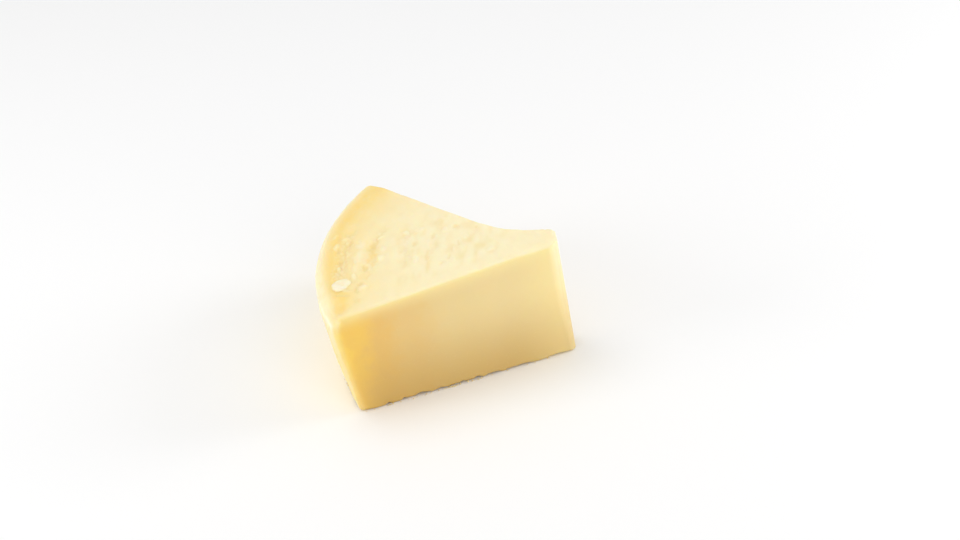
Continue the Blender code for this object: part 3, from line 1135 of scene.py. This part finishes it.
class NodeSheet:
    """Writes the nodes of one tree in few words."""

    def __init__(self, tree: Tree) -> None:
        """Takes the tree and empties it."""
        self.tree = tree
        tree.nodes.clear()

    def add(self, kind: str, **inputs: object) -> Node:
        """Adds a node and sets or links its inputs.

        Args:
            kind: The node's type.
            **inputs: Values or sockets by input name, with underscores for spaces.

        Returns:
            The new node.
        """
        node = self.tree.nodes.new(kind)
        for name, value in inputs.items():
            self.feed(node.inputs[name.replace("_", " ")], value)
        return node

    def feed(self, socket: Socket, value: object) -> None:
        """Links a socket to another, or sets its value.

        Args:
            socket: The input to feed.
            value: A socket or a plain value.
        """
        if isinstance(value, Socket):
            self.tree.links.new(value, socket)
        else:
            socket.default_value = value

    def close(self, shader: Node, output: str = "ShaderNodeOutputMaterial") -> None:
        """Links a shader to the tree's output."""
        self.add(output, Surface=shader.outputs[0])

    def mask(self, mask: Mask, share: float = 1.0) -> Socket:
        """Reads a vertex attribute.

        Args:
            mask: The attribute.
            share: What it is multiplied by.

        Returns:
            The value socket.
        """
        node = self.add("ShaderNodeAttribute")
        node.attribute_name = mask.value
        return self.times(node.outputs["Fac"], share)

    def ramp(self, share: Socket, stops: Stops) -> Socket:
        """Blends through colours.

        Args:
            share: The driving value.
            stops: Places from 0 to 1, each with its linear colour.

        Returns:
            The colour socket.
        """
        node = self.add("ShaderNodeValToRGB", Fac=share)
        ramp = node.color_ramp
        ramp.interpolation = "EASE"
        while len(ramp.elements) < len(stops):
            ramp.elements.new(1.0)
        for element, (place, colour) in zip(ramp.elements, stops):
            element.position = place
            element.color = (*colour, 1.0)
        return node.outputs["Color"]

    def mix(self, share: object, first: object, second: object, blend: str = "MIX") -> Socket:
        """Mixes two colours.

        Args:
            share: How much of the second, a value or a socket.
            first: A linear colour or a socket.
            second: A linear colour or a socket.
            blend: The blend type.

        Returns:
            The colour socket.
        """
        node = self.add("ShaderNodeMix")
        node.data_type = "RGBA"
        node.blend_type = blend
        self.feed(node.inputs[0], share)
        for socket, value in ((node.inputs[6], first), (node.inputs[7], second)):
            self.feed(socket, (*value, 1.0) if isinstance(value, tuple) else value)
        return node.outputs[2]

    def layers(self, colour: object, *layers: tuple[Socket, object]) -> Socket:
        """Lays colours over each other.

        Args:
            colour: The lowest colour.
            *layers: How much of each further colour, and that colour, from the lowest up.

        Returns:
            The colour socket.
        """
        for share, over in layers:
            colour = self.mix(share, colour, over)
        return colour

    def math(self, operation: str, *values: object, clamp: bool = False) -> Socket:
        """Works out a value from others.

        Args:
            operation: The Math node's operation.
            *values: Its values or sockets.
            clamp: Whether the result is kept from 0 to 1.

        Returns:
            The value socket.
        """
        node = self.add("ShaderNodeMath")
        node.operation = operation
        node.use_clamp = clamp
        for socket, value in zip(node.inputs, values):
            self.feed(socket, value)
        return node.outputs[0]

    def times(self, value: Socket, share: object) -> Socket:
        """The value times a share, which adds no node where the share is a plain 1."""
        return value if isinstance(share, float) and share == 1.0 else self.math("MULTIPLY", value, share)

    def span(self, value: Socket, source: Pair, target: Pair = (0.0, 1.0)) -> Socket:
        """Maps a value smoothly from one range to another.

        Args:
            value: The socket to read.
            source: Where the range starts and ends.
            target: The results there.

        Returns:
            The value socket.
        """
        node = self.add("ShaderNodeMapRange", Value=value)
        node.interpolation_type = "SMOOTHSTEP"
        for name, number in zip(("From Min", "From Max", "To Min", "To Max"), (*source, *target)):
            self.feed(node.inputs[name], number)
        return node.outputs[0]

    def clouds(self, vector: Socket, wavelength: float, detail: float, roughness: float) -> Socket:
        """Cloudy noise on object coordinates.

        Args:
            vector: The coordinates in metres.
            wavelength: The size of its waves in millimetres.
            detail: How many finer octaves it has.
            roughness: How strong those are.

        Returns:
            The value socket, about 0.5 on average.
        """
        scale = 1.0 / (wavelength * MM)
        node = self.add("ShaderNodeTexNoise", Vector=vector, Scale=scale, Detail=detail, Roughness=roughness)
        return node.outputs["Fac"]


@dataclass(frozen=True)
class PasteGrain:
    """The fine grain of the paste, a node group that every cheese finish shares.

    Attributes:
        name: The group's name.
        grain, crystal, mottle: Wavelength in millimetres, detail and roughness of its three clouds.
        crystal_share: Share of the height that the crystals give.
        speckle: Spacing of the specks in millimetres.
        speck_edge: Distances from a speck's middle between which it sets in, as shares of the spacing.
    """

    name: str = "paste_grain"
    grain: Triple = (0.9, 4.0, 0.55)
    crystal: Triple = (0.35, 2.0, 0.5)
    mottle: Triple = (6.0, 3.0, 0.6)
    crystal_share: float = 0.25
    speckle: float = 1.6
    speck_edge: Pair = (0.16, 0.05)

    def group(self) -> Tree:
        """The group, built when it is first asked for.

        Returns:
            A node tree with a Vector input and the outputs Height, Mottle and Speck.
        """
        if self.name in bpy.data.node_groups:
            return bpy.data.node_groups[self.name]
        tree = bpy.data.node_groups.new(self.name, "ShaderNodeTree")
        tree.interface.new_socket("Vector", in_out="INPUT", socket_type="NodeSocketVector")
        for name in ("Height", "Mottle", "Speck"):
            tree.interface.new_socket(name, in_out="OUTPUT", socket_type="NodeSocketFloat")
        sheet = NodeSheet(tree)
        vector = sheet.add("NodeGroupInput").outputs["Vector"]
        grain = sheet.times(sheet.clouds(vector, *self.grain), 1.0 - self.crystal_share)
        crystal = sheet.times(sheet.clouds(vector, *self.crystal), self.crystal_share)
        speckle = sheet.add("ShaderNodeTexVoronoi", Vector=vector, Scale=1.0 / (self.speckle * MM))
        sheet.add(
            "NodeGroupOutput",
            Height=sheet.math("ADD", grain, crystal),
            Mottle=sheet.clouds(vector, *self.mottle),
            Speck=sheet.span(speckle.outputs["Distance"], self.speck_edge),
        )
        return tree

    def place(self, sheet: NodeSheet) -> Node:
        """Puts the group into a material, reading its object coordinates.

        Args:
            sheet: The material's nodes.

        Returns:
            The group's node.
        """
        node = sheet.add("ShaderNodeGroup")
        node.node_tree = self.group()
        sheet.feed(node.inputs["Vector"], sheet.add("ShaderNodeTexCoord").outputs["Object"])
        return node


def new_material(name: str) -> tuple[Material, NodeSheet]:
    """An empty node material and the sheet to write it with.

    Args:
        name: The material's name.

    Returns:
        The material and its sheet.
    """
    material = bpy.data.materials.new(name)
    material.use_nodes = True
    return material, NodeSheet(material.node_tree)


@dataclass(frozen=True)
class PasteShader:
    """The shader of every cheese finish, with the bump of the grain and the light that spreads inside.

    Attributes:
        weight: Share of the light that enters.
        scale: How far red light travels, in millimetres.
        radius: Travel of red, green and blue as shares of that.
        bump: Height of the grain in millimetres.
    """

    weight: float = 0.35
    scale: float = 5.0
    radius: Triple = (1.0, 0.62, 0.22)
    bump: float = 0.35

    def close(self, sheet: NodeSheet, grain: Node, strength: object, **inputs: object) -> None:
        """Adds the shader and links it to the material's output.

        Args:
            sheet: The material's nodes.
            grain: The grain's node.
            strength: Strength of its bump, a value or a socket.
            **inputs: The shader's other inputs by name.
        """
        bump = sheet.add(
            "ShaderNodeBump", Height=grain.outputs["Height"], Distance=self.bump * MM, Strength=strength
        )
        shader = sheet.add(
            PRINCIPLED,
            Normal=bump.outputs["Normal"],
            Subsurface_Weight=self.weight,
            Subsurface_Scale=self.scale * MM,
            Subsurface_Radius=self.radius,
            **inputs,
        )
        sheet.close(shader)


@dataclass(frozen=True)
class PasteFinish:
    """The chunk's finish: cream on top with a golden band, golden to tan on the cuts, pale on the dry skin.

    Attributes:
        top: Colour of the top.
        gold, gold_share, gold_mottle: Colour of the golden band, how much of it, and how that is mottled.
        pit_shade, pit_shade_share: Painted shade, golden, in what is sunk or torn on the top, and how much of
            it.
        pale, pale_share: Painted light on raised grains and a painted highlight along the rim, and how much
            of it.
        cut, cut_mottle: Colours of a cut from its middle to the rind, with a painted glow at each end, and
            how their border wanders.
        foot, foot_shade_share: Painted shade, dark and warm, that the cuts take towards the base, and how
            much of it.
        foot_shade_rise: Nearness to the base between which the painted shade sets in.
        foot_shade_window: How strong that shade is from the middle of the wheel to the rind, as greys.
        rim, rim_highlight_share: Colour of the painted highlight along a cut's upper edge, and how much of
            it.
        skin, tip_skin_light_and_shade: Colours of the rind's side and blunt tip from the top down, with
            painted light and shade.
        skin_sides: Nearness to the rind between which one gives way to the other.
        hollow, hollow_share: Colour of the hollows of the rind's side, and how much of it.
        fracture: Colour of the broken surface.
        shade_mottle: How the paste is mottled all over.
        speck_share: How strong the specks are.
        dullness, ior: How dull it is by the mottle, and its index of refraction.
        least_bump, top_bump: Strength of the grain's bump, and what the top adds to it.
        shader: How the light works on it.
    """

    top: Colour = linear(254, 238, 195)
    gold: Colour = linear(253, 218, 131)
    gold_share: float = 0.97
    gold_mottle: Span = ((0.1, 0.6), (0.75, 1.0))
    # Painted shade, golden, in the top's sunk and torn places.
    pit_shade: Colour = linear(244, 219, 152)
    pit_shade_share: float = 0.9
    # Painted light on raised grains and a painted highlight along the rim; the specks take it too.
    pale: Colour = linear(255, 245, 212)
    pale_share: float = 0.8
    # The pale start, by the tip, is a painted glow of light through the thin tip; the golden end, by the
    # rind, is a painted glow of light that spreads in through the rind's side.
    cut: Stops = (
        (0.0, linear(252, 229, 162)),
        (0.3, linear(240, 216, 156)),
        (0.5, linear(237, 212, 150)),
        (0.7, linear(235, 201, 131)),
        (0.82, linear(237, 195, 112)),
        (0.92, linear(246, 203, 97)),
        (1.0, linear(252, 214, 94)),
    )
    cut_mottle: Span = ((0.2, 0.8), (-0.025, 0.025))
    # Painted shade, dark and warm, towards the base of the cuts, strongest in the middle of the front.
    foot: Colour = linear(204, 166, 90)
    foot_shade_share: float = 0.78
    foot_shade_rise: Pair = (0.3, 1.0)
    foot_shade_window: Stops = ((0.0, grey(0.52)), (0.3, grey(1.0)), (0.82, grey(1.0)), (0.96, grey(0.45)))
    # Painted highlight along the upper edge of a cut.
    rim: Colour = linear(254, 236, 168)
    rim_highlight_share: float = 0.85
    # The near-white top is a painted highlight on the rolled shoulder.
    skin: Stops = (
        (0.15, linear(254, 250, 229)),
        (0.32, linear(252, 235, 177)),
        (0.58, linear(252, 228, 158)),
        (0.9, linear(254, 228, 158)),
    )
    # Painted light and shade on the blunt tip: pale near the top where the side light falls, darker towards
    # the base.
    tip_skin_light_and_shade: Stops = (
        (0.12, linear(248, 239, 212)),
        (0.35, linear(246, 232, 195)),
        (0.58, linear(230, 211, 164)),
        (0.9, linear(216, 194, 143)),
    )
    skin_sides: Pair = (0.1, 0.6)
    hollow: Colour = linear(238, 206, 132)
    hollow_share: float = 0.34
    fracture: Colour = linear(246, 222, 164)
    shade_mottle: Span = ((0.25, 0.75), (0.93, 1.0))
    speck_share: float = 0.12
    dullness: Span = ((0.2, 0.8), (0.45, 0.62))
    ior: float = 1.45
    least_bump: float = 0.15
    top_bump: float = 0.3
    shader: PasteShader = PasteShader()

    def top_colour(self, sheet: NodeSheet, mottle: Socket) -> Socket:
        """Colour of the top: the plain paste, then the golden band, painted shade in torn pits and painted
        light on raised grains.

        Args:
            sheet: The material's nodes.
            mottle: The grain's mottle.

        Returns:
            The colour socket.
        """
        gold = sheet.times(sheet.mask(Mask.GOLD, self.gold_share), sheet.span(mottle, *self.gold_mottle))
        return sheet.layers(
            self.top,
            (gold, self.gold),
            (sheet.mask(Mask.PIT, self.pit_shade_share), self.pit_shade),
            (sheet.mask(Mask.PALE_AND_PAINTED_LIGHT, self.pale_share), self.pale),
        )

    def cut_colour(self, sheet: NodeSheet, mottle: Socket) -> Socket:
        """Colour of the cuts: more golden by the rind as a painted glow, painted shade towards the base, a
        painted highlight at the upper edge.

        Args:
            sheet: The material's nodes.
            mottle: The grain's mottle.

        Returns:
            The colour socket.
        """
        rind = sheet.mask(Mask.RIND)
        depth = sheet.math("ADD", rind, sheet.span(mottle, *self.cut_mottle), clamp=True)
        # Painted shade towards the base.
        low = sheet.span(sheet.mask(Mask.LOW), self.foot_shade_rise, (0.0, self.foot_shade_share))
        return sheet.layers(
            sheet.ramp(depth, self.cut),
            (sheet.mask(Mask.BREAK), self.fracture),
            (sheet.times(low, sheet.ramp(rind, self.foot_shade_window)), self.foot),
            # Painted highlight along the upper edge.
            (sheet.mask(Mask.RIM_HIGHLIGHT, self.rim_highlight_share), self.rim),
        )

    def skin_colour(self, sheet: NodeSheet) -> Socket:
        """Colour of the dry skin: the tip's or the rind's from the top down, with painted light and shade,
        and hollows on the rind.

        Args:
            sheet: The material's nodes.

        Returns:
            The colour socket.
        """
        low = sheet.mask(Mask.LOW)
        by_rind = sheet.span(sheet.mask(Mask.RIND), self.skin_sides)
        hollow = sheet.times(sheet.mask(Mask.PIT, self.hollow_share), by_rind)
        tip, rind = sheet.ramp(low, self.tip_skin_light_and_shade), sheet.ramp(low, self.skin)
        return sheet.layers(tip, (by_rind, rind), (hollow, self.hollow))

    def material(self) -> Material:
        """Builds the material.

        Returns:
            The new material.
        """
        material, sheet = new_material("cheese_paste")
        grain = PasteGrain().place(sheet)
        mottle = grain.outputs["Mottle"]
        top = sheet.mask(Mask.TOP)
        colour = sheet.layers(
            self.cut_colour(sheet, mottle),
            (top, self.top_colour(sheet, mottle)),
            (sheet.mask(Mask.SKIN_AND_SPILT_LIGHT), self.skin_colour(sheet)),
        )
        shade = sheet.ramp(sheet.span(mottle, *self.shade_mottle), ((0.0, grey(0.0)), (1.0, grey(1.0))))
        colour = sheet.mix(1.0, colour, shade, "MULTIPLY")
        self.shader.close(
            sheet,
            grain,
            sheet.math("MULTIPLY_ADD", top, self.top_bump, self.least_bump),
            Base_Color=sheet.mix(sheet.times(grain.outputs["Speck"], self.speck_share), colour, self.pale),
            Roughness=sheet.span(mottle, *self.dullness),
            IOR=self.ior,
        )
        return material


@dataclass(frozen=True)
class FlakeFinish:
    """The finish of loose bits: paler and drier than the paste.

    Attributes:
        name: The material's name.
        pale, warm: Colours where the raised mask is full and where it is nothing; on a flake, painted light
            and shade.
        pale_mottle: How the pale colour is mottled.
        roughness: How dull it is.
        bump: Strength of the grain's bump.
        shader: How the light works on it.
    """

    name: str
    pale: Colour
    warm: Colour
    pale_mottle: Span = ((0.35, 0.65), (0.6, 1.0))
    roughness: float = 0.6
    bump: float = 0.4
    shader: PasteShader = PasteShader(weight=0.3, scale=2.0, bump=0.3)

    def material(self) -> Material:
        """Builds the material.

        Returns:
            The new material.
        """
        material, sheet = new_material(self.name)
        grain = PasteGrain().place(sheet)
        # On a flake the pale mask is painted light on its top and painted shade below; on a crumb it is a
        # random tone.
        share = sheet.times(sheet.mask(Mask.PALE_AND_PAINTED_LIGHT), sheet.span(grain.outputs["Mottle"], *self.pale_mottle))
        colour = sheet.mix(share, self.warm, self.pale)
        self.shader.close(sheet, grain, self.bump, Base_Color=colour, Roughness=self.roughness)
        return material


@dataclass(frozen=True)
class FloorFinish:
    """The plain pale floor.

    Attributes:
        colour: Its colour.
        roughness: How dull it is.
    """

    colour: Colour = grey(0.95)
    roughness: float = 0.7

    def material(self) -> Material:
        """Builds the material.

        Returns:
            The new material.
        """
        material, sheet = new_material("pale_floor")
        sheet.close(sheet.add(PRINCIPLED, Base_Color=(*self.colour, 1.0), Roughness=self.roughness))
        return material


class Dressed:
    """A sub-assembly whose piece takes its finish and rides on the body."""

    finish: PasteFinish | FlakeFinish

    def dress(self, piece: Object) -> Object:
        """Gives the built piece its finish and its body.

        Args:
            piece: The built piece.

        Returns:
            The same piece.
        """
        piece.data.materials.append(self.finish.material())
        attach(piece, BODY)
        return piece


@dataclass
class CheeseChunk(Dressed):
    """The chunk itself.

    Attributes:
        form: Its smooth form.
        relief: What its surface does.
        lattice: The grid of its skin.
        rind_zone: Depth over which the colours of a cut change from the rind on.
        rim_highlight_zone: Width of the painted highlight along the upper edge of a cut.
        low_zone: Height over which the mask of nearness to the base runs.
        skin_light_spill: How far the skin's colour runs on over the cuts beside the rind and the tip, as
            painted light.
        skin_share: How much of it there is at the start of those zones.
        skin_edge: How far from the front cut the skin's colour is full.
        finish: Its finish.
        shift: What moves plan places into the part's frame, set by build.
    """

    form: ChunkForm = field(default_factory=ChunkForm)
    relief: Relief = field(default_factory=Relief)
    lattice: BoxLattice = BoxLattice((190, 132, 70), (0.42, 0.3, 0.42))
    rind_zone: float = 110.0
    rim_highlight_zone: float = 9.0
    low_zone: float = 60.0
    skin_light_spill: Pair = (4.2, 7.0)
    skin_share: float = 0.42
    skin_edge: float = 4.0
    finish: PasteFinish = field(default_factory=PasteFinish)
    shift: Array = field(default_factory=lambda: np.zeros(3))

    def normals(self, points: Array, faces: Array) -> Array:
        """Unit normals of a grid skin: the cross products of the cells' diagonals, added up at their corners.

        Args:
            points: Places, one row each.
            faces: Corner numbers of the cells.

        Returns:
            One unit normal for each place.
        """
        corner = points[faces]
        cross = np.cross(corner[:, 2] - corner[:, 0], corner[:, 3] - corner[:, 1])
        sums = [np.bincount(faces.ravel(), np.repeat(side, 4), len(points)) for side in cross.T]
        total = np.stack(sums, axis=1)
        return total / np.linalg.norm(total, axis=1)[:, None]

    def masks(self, shares: Array, points: Array, face: FaceShares) -> dict[Mask, Array]:
        """Vertex masks for the finish of the faces beside the top.

        Args:
            shares: Shares u, v and w.
            points: Places on the smooth form.
            face: Shares of the faces.

        Returns:
            Values from 0 to 1 by mask.
        """
        depth, _ = self.form.wheel.polar(points)
        below = self.form.top_height(points) - points[:, 2]
        u, v, _ = shares.T
        length, width, _ = self.form.spans(u, v)
        # The skin's colour spills onto the cuts beside the rind and the tip as painted light.
        by_rind, by_tip = self.skin_light_spill
        spill = ease(1.0 - u * length / by_rind) + ease(1.0 - (1.0 - u) * length / by_tip)
        full = at_least(self.skin_share, ease(v * width / self.skin_edge))
        skin = np.maximum((face.rind + face.tip) * full, self.skin_share * spill)
        return {
            Mask.TOP: face.top,
            Mask.RIND: 1.0 - depth / self.rind_zone,
            # Painted highlight along the upper edge of a cut.
            Mask.RIM_HIGHLIGHT: np.clip(1.0 - below / self.rim_highlight_zone, 0.0, 1.0) ** 2,
            # Painted shade towards the base, and the skin's painted light and shade.
            Mask.LOW: 1.0 - points[:, 2] / self.low_zone,
            Mask.SKIN_AND_SPILT_LIGHT: skin * (1.0 - face.top),
            Mask.BREAK: face.broken,
        }

    def build(self) -> Object:
        """Builds the skin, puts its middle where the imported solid's is, and lets it stand for that.

        Returns:
            The chunk's object.
        """
        shares, faces = self.lattice.build()
        smooth = self.form.points(shares)
        normals = self.normals(smooth, faces)
        height, top_masks, face = self.relief.at(self.form, shares, smooth, normals)
        inside = ((shares[:, :2] > 0.0) & (shares[:, :2] < 1.0)).all(axis=1)
        flat_base = inside & (shares[:, 2] == 0.0)
        height[flat_base] = 0.0
        points = smooth + normals * height[:, None]
        points[:, 2] = np.maximum(points[:, 2], 0.0)
        under = np.where(flat_base, self.form.edge_distance(shares), 0.0)
        points[:, 2] += self.relief.nick_lift(points, under)
        low, high = (np.array(corner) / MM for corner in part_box(NODE))
        self.shift = 0.5 * (low + high - points.min(axis=0) - points.max(axis=0))
        self.shift[2] = 0.0
        masks = self.masks(shares, smooth, face) | top_masks
        piece = self.dress(make_piece("cheese_skin", points + self.shift, (faces,), masks))
        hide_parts(NODE)
        return piece


@dataclass(frozen=True)
class Flake:
    """One loose flake on the top.

    Attributes:
        depth: Depth in from the rim.
        bearing: Bearing round the wheel in degrees.
        size: Its length, width and thickness.
        turn: How far its long axis is turned from the X axis, in degrees.
    """

    depth: float
    bearing: float
    size: Triple
    turn: float


@dataclass
class TopFlakes(Dressed):
    """Loose flakes that lie beside the front corner of the rind.

    Attributes:
        flakes: The flakes.
        lattice: The grid of one flake.
        ragged: Unevenness of their outline and surface.
        apart: How far apart in that noise two flakes lie, so that they differ.
        dent_depth: Depth of the dent across a flake's middle, as a share of its thickness.
        dent_reach: Half width of the dent.
        sunk: Share of a flake's thickness that is below the top.
        dome_light_and_shade: Heights on the unit ball between which a flake turns from warm to pale, painted
            shade to painted light.
        middle_shade: How much warmer it is in the dent, as painted shade.
        finish: Their finish.
    """

    flakes: tuple[Flake, ...] = (
        Flake(11.3, 171.8, (9.8, 8.8, 1.7), 35.0),
        Flake(19.6, 176.0, (2.6, 2.0, 0.5), 20.0),
    )
    lattice: BallLattice = BallLattice(22, 64)
    ragged: Noise = Noise(0.2, 4.2, 65, octaves=3)
    apart: float = 10.0
    dent_depth: float = 0.3
    dent_reach: float = 1.6
    sunk: float = 0.45
    dome_light_and_shade: Pair = (0.05, 0.7)
    middle_shade: float = 0.2
    finish: FlakeFinish = FlakeFinish("pale_flake", linear(255, 244, 217), linear(253, 226, 162))

    def build(self, chunk: CheeseChunk) -> Object:
        """Shapes each flake as a flattened ball: its directions times its half size times a ragged factor.

        Args:
            chunk: The built chunk that they lie on.

        Returns:
            All flakes as one object.
        """
        directions, faces = self.lattice.copies(len(self.flakes))
        points, pale = [], []
        for number, flake in enumerate(self.flakes, 1):
            ball = directions * 0.5 * np.array(flake.size)
            wobble = 1.0 + self.ragged.at(ball + self.apart * number)
            dent = bump(ball[:, 0] / self.dent_reach)
            thick = 0.5 * (1.0 + wobble) * (1.0 - self.dent_depth * dent)
            x, y, z = (ball * np.column_stack((wobble, wobble, thick))).T
            place = chunk.form.wheel.place(np.array([flake.depth]), np.array([flake.bearing]))
            plan = place + np.column_stack(spin(x, y, np.radians(flake.turn)))
            rest = chunk.form.top_height(plan) + (0.5 - self.sunk) * flake.size[2]
            points.append(np.column_stack((plan, rest + z)))
            # Painted light on a flake's top, painted shade on its sides and in its dent.
            pale.append(rise_between(directions[:, 2], *self.dome_light_and_shade) * (1.0 - self.middle_shade * dent))
        masks = {Mask.PALE_AND_PAINTED_LIGHT: np.concatenate(pale)}
        return self.dress(make_piece("top_flakes", np.concatenate(points) + chunk.shift, faces, masks))


@dataclass
class FootCrumbs(Dressed):
    """Crumbs that lie along the foot of the cuts.

    Attributes:
        front, back, rind: How many lie along each side.
        clusters: Places along X, spread and number of the crumbs that lie together at the front.
        front_lean: Beta shape of their places along the front cut, which leans towards the rind.
        ends: Shares of the other sides between which they lie.
        spread: How far out from the foot they lie, as a standard deviation.
        size, size_lean: The least and the greatest crumb, and the beta shape of the sizes between.
        lumps, squash: Ranges of a crumb's random radii and of its random sizes.
        lattice: The grid of one crumb.
        seed: Picks their places and shapes.
        finish: Their finish.
    """

    front: int = 50
    back: int = 40
    rind: int = 12
    clusters: tuple[tuple[float, float, int], ...] = ((-87.5, 1.6, 8), (-57.6, 2.2, 14), (-47.8, 1.2, 6))
    front_lean: Pair = (1.6, 2.2)
    ends: Pair = (0.02, 0.98)
    spread: float = 0.275
    size: Pair = (0.3, 1.3)
    size_lean: Pair = (1.0, 3.0)
    lumps: Pair = (0.7, 1.15)
    squash: Pair = (0.55, 1.0)
    lattice: BallLattice = BallLattice(3, 6)
    seed: int = 71
    finish: FlakeFinish = FlakeFinish("crumb", linear(248, 226, 168), linear(238, 204, 132))

    def places(self, form: ChunkForm, draw: np.random.Generator) -> Array:
        """Plan places along the foot: the front cut, the back cut and the tucked rim.

        Args:
            form: The chunk's form.
            draw: The random draws.

        Returns:
            Plan points, one row each.
        """
        front = form.front_line(draw.beta(*self.front_lean, self.front))
        near = np.concatenate([draw.normal(*cluster) for cluster in self.clusters])
        front = np.concatenate((front, np.column_stack((near, np.zeros_like(near)))))
        back = form.back_line(draw.uniform(*self.ends, self.back))
        rind = form.rind_line(draw.uniform(*self.ends, self.rind))
        away = form.wheel.outward(rind)
        turn = np.radians(form.back_cut_degrees - 90.0)
        outward = np.concatenate(
            (
                np.tile((0.0, -1.0), (len(front), 1)),
                np.tile((np.cos(turn), np.sin(turn)), (self.back, 1)),
                away,
            )
        )
        out = np.abs(draw.normal(0.0, self.spread, (len(outward), 1)))
        return np.concatenate((front, back, rind - away * form.rind_tuck)) + outward * out

    def build(self, chunk: CheeseChunk) -> Object:
        """Shapes each crumb as a small lumpy ball that rests on the floor.

        Each crumb is the unit ball times a random radius at every point, times three random sizes.

        Args:
            chunk: The built chunk.

        Returns:
            All crumbs as one object.
        """
        draw = np.random.default_rng(self.seed)
        plan = self.places(chunk.form, draw)
        count = len(plan)
        directions, faces = self.lattice.copies(count)
        low, high = self.size
        size = low + (high - low) * draw.beta(*self.size_lean, count)
        lumpy = draw.uniform(*self.lumps, (count, len(directions), 1))
        squash = draw.uniform(*self.squash, (count, 1, 3)) * (0.5 * size)[:, None, None]
        turn = draw.uniform(0.0, 2.0 * np.pi, (count, 1))
        x, y, z = np.moveaxis(directions * lumpy * squash, -1, 0)
        x, y = spin(x, y, turn)
        z = z - z.min(axis=1, keepdims=True)
        points = np.stack((x + plan[:, :1], y + plan[:, 1:], z), axis=-1).reshape(-1, 3)
        tint = np.repeat(draw.uniform(0.0, 1.0, count), len(directions))
        return self.dress(make_piece("foot_crumbs", points + chunk.shift, faces, {Mask.PALE_AND_PAINTED_LIGHT: tint}))


@dataclass(frozen=True)
class SoftBox:
    """One area light.

    Attributes:
        name: Its name.
        place: Where it hangs, in millimetres from the chunk's middle.
        size: Its diameter in millimetres.
        power: Its power in watts.
    """

    name: str
    place: Triple
    size: float
    power: float

    def build(self) -> None:
        """Hangs the light, turned towards the chunk."""
        data = bpy.data.lights.new(self.name, "AREA")
        data.shape = "DISK"
        data.size = self.size * MM
        data.energy = self.power
        light = bpy.data.objects.new(self.name, data)
        light.location = Vector(self.place) * MM
        light.rotation_euler = (-light.location).to_track_quat("-Z", "Y").to_euler()
        bpy.context.scene.collection.objects.link(light)


@dataclass(frozen=True)
class Studio:
    """The floor, the lights and the camera.

    Attributes:
        floor_side: Side of the floor in millimetres.
        floor_finish: Its finish.
        boxes: The lights.
        sky: Strength of the white surroundings.
        camera_place: The camera, in millimetres from the tip's front corner.
        elevation, azimuth, roll: How the camera looks down, round and tilts, in degrees.
        lens, sensor: Focal length and sensor width in millimetres.
        nearest: Distance from which the camera sees, in millimetres.
    """

    floor_side: float = 6000.0
    floor_finish: FloorFinish = field(default_factory=FloorFinish)
    boxes: tuple[SoftBox, ...] = (
        SoftBox("top_box", (-250.0, 300.0, 900.0), 600.0, 1.6),
        SoftBox("left_box", (-900.0, 100.0, 350.0), 500.0, 2.0),
        SoftBox("right_box", (850.0, -150.0, 350.0), 500.0, 2.3),
        SoftBox("front_box", (100.0, -950.0, 500.0), 700.0, 1.85),
    )
    sky: float = 0.67
    camera_place: Triple = (-314.2, -961.7, 678.7)
    elevation: float = 31.88
    azimuth: float = -16.05
    roll: float = 7.19
    lens: float = 100.0
    sensor: float = 36.0
    nearest: float = 10.0

    def build_floor(self) -> Object:
        """Lays the floor under the chunk as one flat cell.

        Returns:
            The floor's object.
        """
        half = 0.5 * self.floor_side
        corners = np.array([(-half, -half, 0.0), (half, -half, 0.0), (half, half, 0.0), (-half, half, 0.0)])
        floor = make_piece("pale_floor", corners, (np.array([[0, 1, 2, 3]]),), {})
        floor.data.materials.append(self.floor_finish.material())
        return floor

    def build_sky(self) -> None:
        """Makes the surroundings plain white."""
        world = bpy.data.worlds.new("studio")
        world.use_nodes = True
        sheet = NodeSheet(world.node_tree)
        white = sheet.add("ShaderNodeBackground", Color=(1.0, 1.0, 1.0, 1.0), Strength=self.sky)
        sheet.close(white, "ShaderNodeOutputWorld")
        bpy.context.scene.world = world
        bpy.context.scene.view_settings.view_transform = "Standard"

    def build_camera(self, shift: Array) -> None:
        """Places the camera.

        Its axes are the level ones, turned by the azimuth and the elevation, and then tilted by the roll.

        Args:
            shift: What moves plan places into the part's frame.
        """
        turn, tilt, roll = np.radians((self.azimuth, self.elevation, self.roll))
        level = np.array((np.cos(turn), np.sin(turn), 0.0))
        ahead = np.array((-np.sin(turn) * np.cos(tilt), np.cos(turn) * np.cos(tilt), -np.sin(tilt)))
        right, up = spin(level, np.cross(level, ahead), roll)
        frame = np.column_stack((right, up, -ahead, (self.camera_place + shift) * MM))
        data = bpy.data.cameras.new("photo_camera")
        data.lens = self.lens
        data.sensor_width = self.sensor
        data.clip_start = self.nearest * MM
        camera = bpy.data.objects.new("photo_camera", data)
        camera.matrix_world = Matrix((*frame.tolist(), (0.0, 0.0, 0.0, 1.0)))
        bpy.context.scene.collection.objects.link(camera)
        bpy.context.scene.camera = camera


def report(piece: Object) -> None:
    """Logs a piece's name and size."""
    piece.data.calc_loop_triangles()
    LOG.info("%s: %d triangles", piece.name, len(piece.data.loop_triangles))


def main() -> None:
    """Builds the chunk, its flakes and crumbs, and the studio."""
    logging.basicConfig(level=logging.INFO, format="%(message)s")
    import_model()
    chunk = CheeseChunk()
    report(chunk.build())
    report(TopFlakes().build(chunk))
    report(FootCrumbs().build(chunk))
    studio = Studio()
    report(studio.build_floor())
    studio.build_sky()
    for box in studio.boxes:
        box.build()
    studio.build_camera(chunk.shift)


if __name__ == "__main__":
    main()
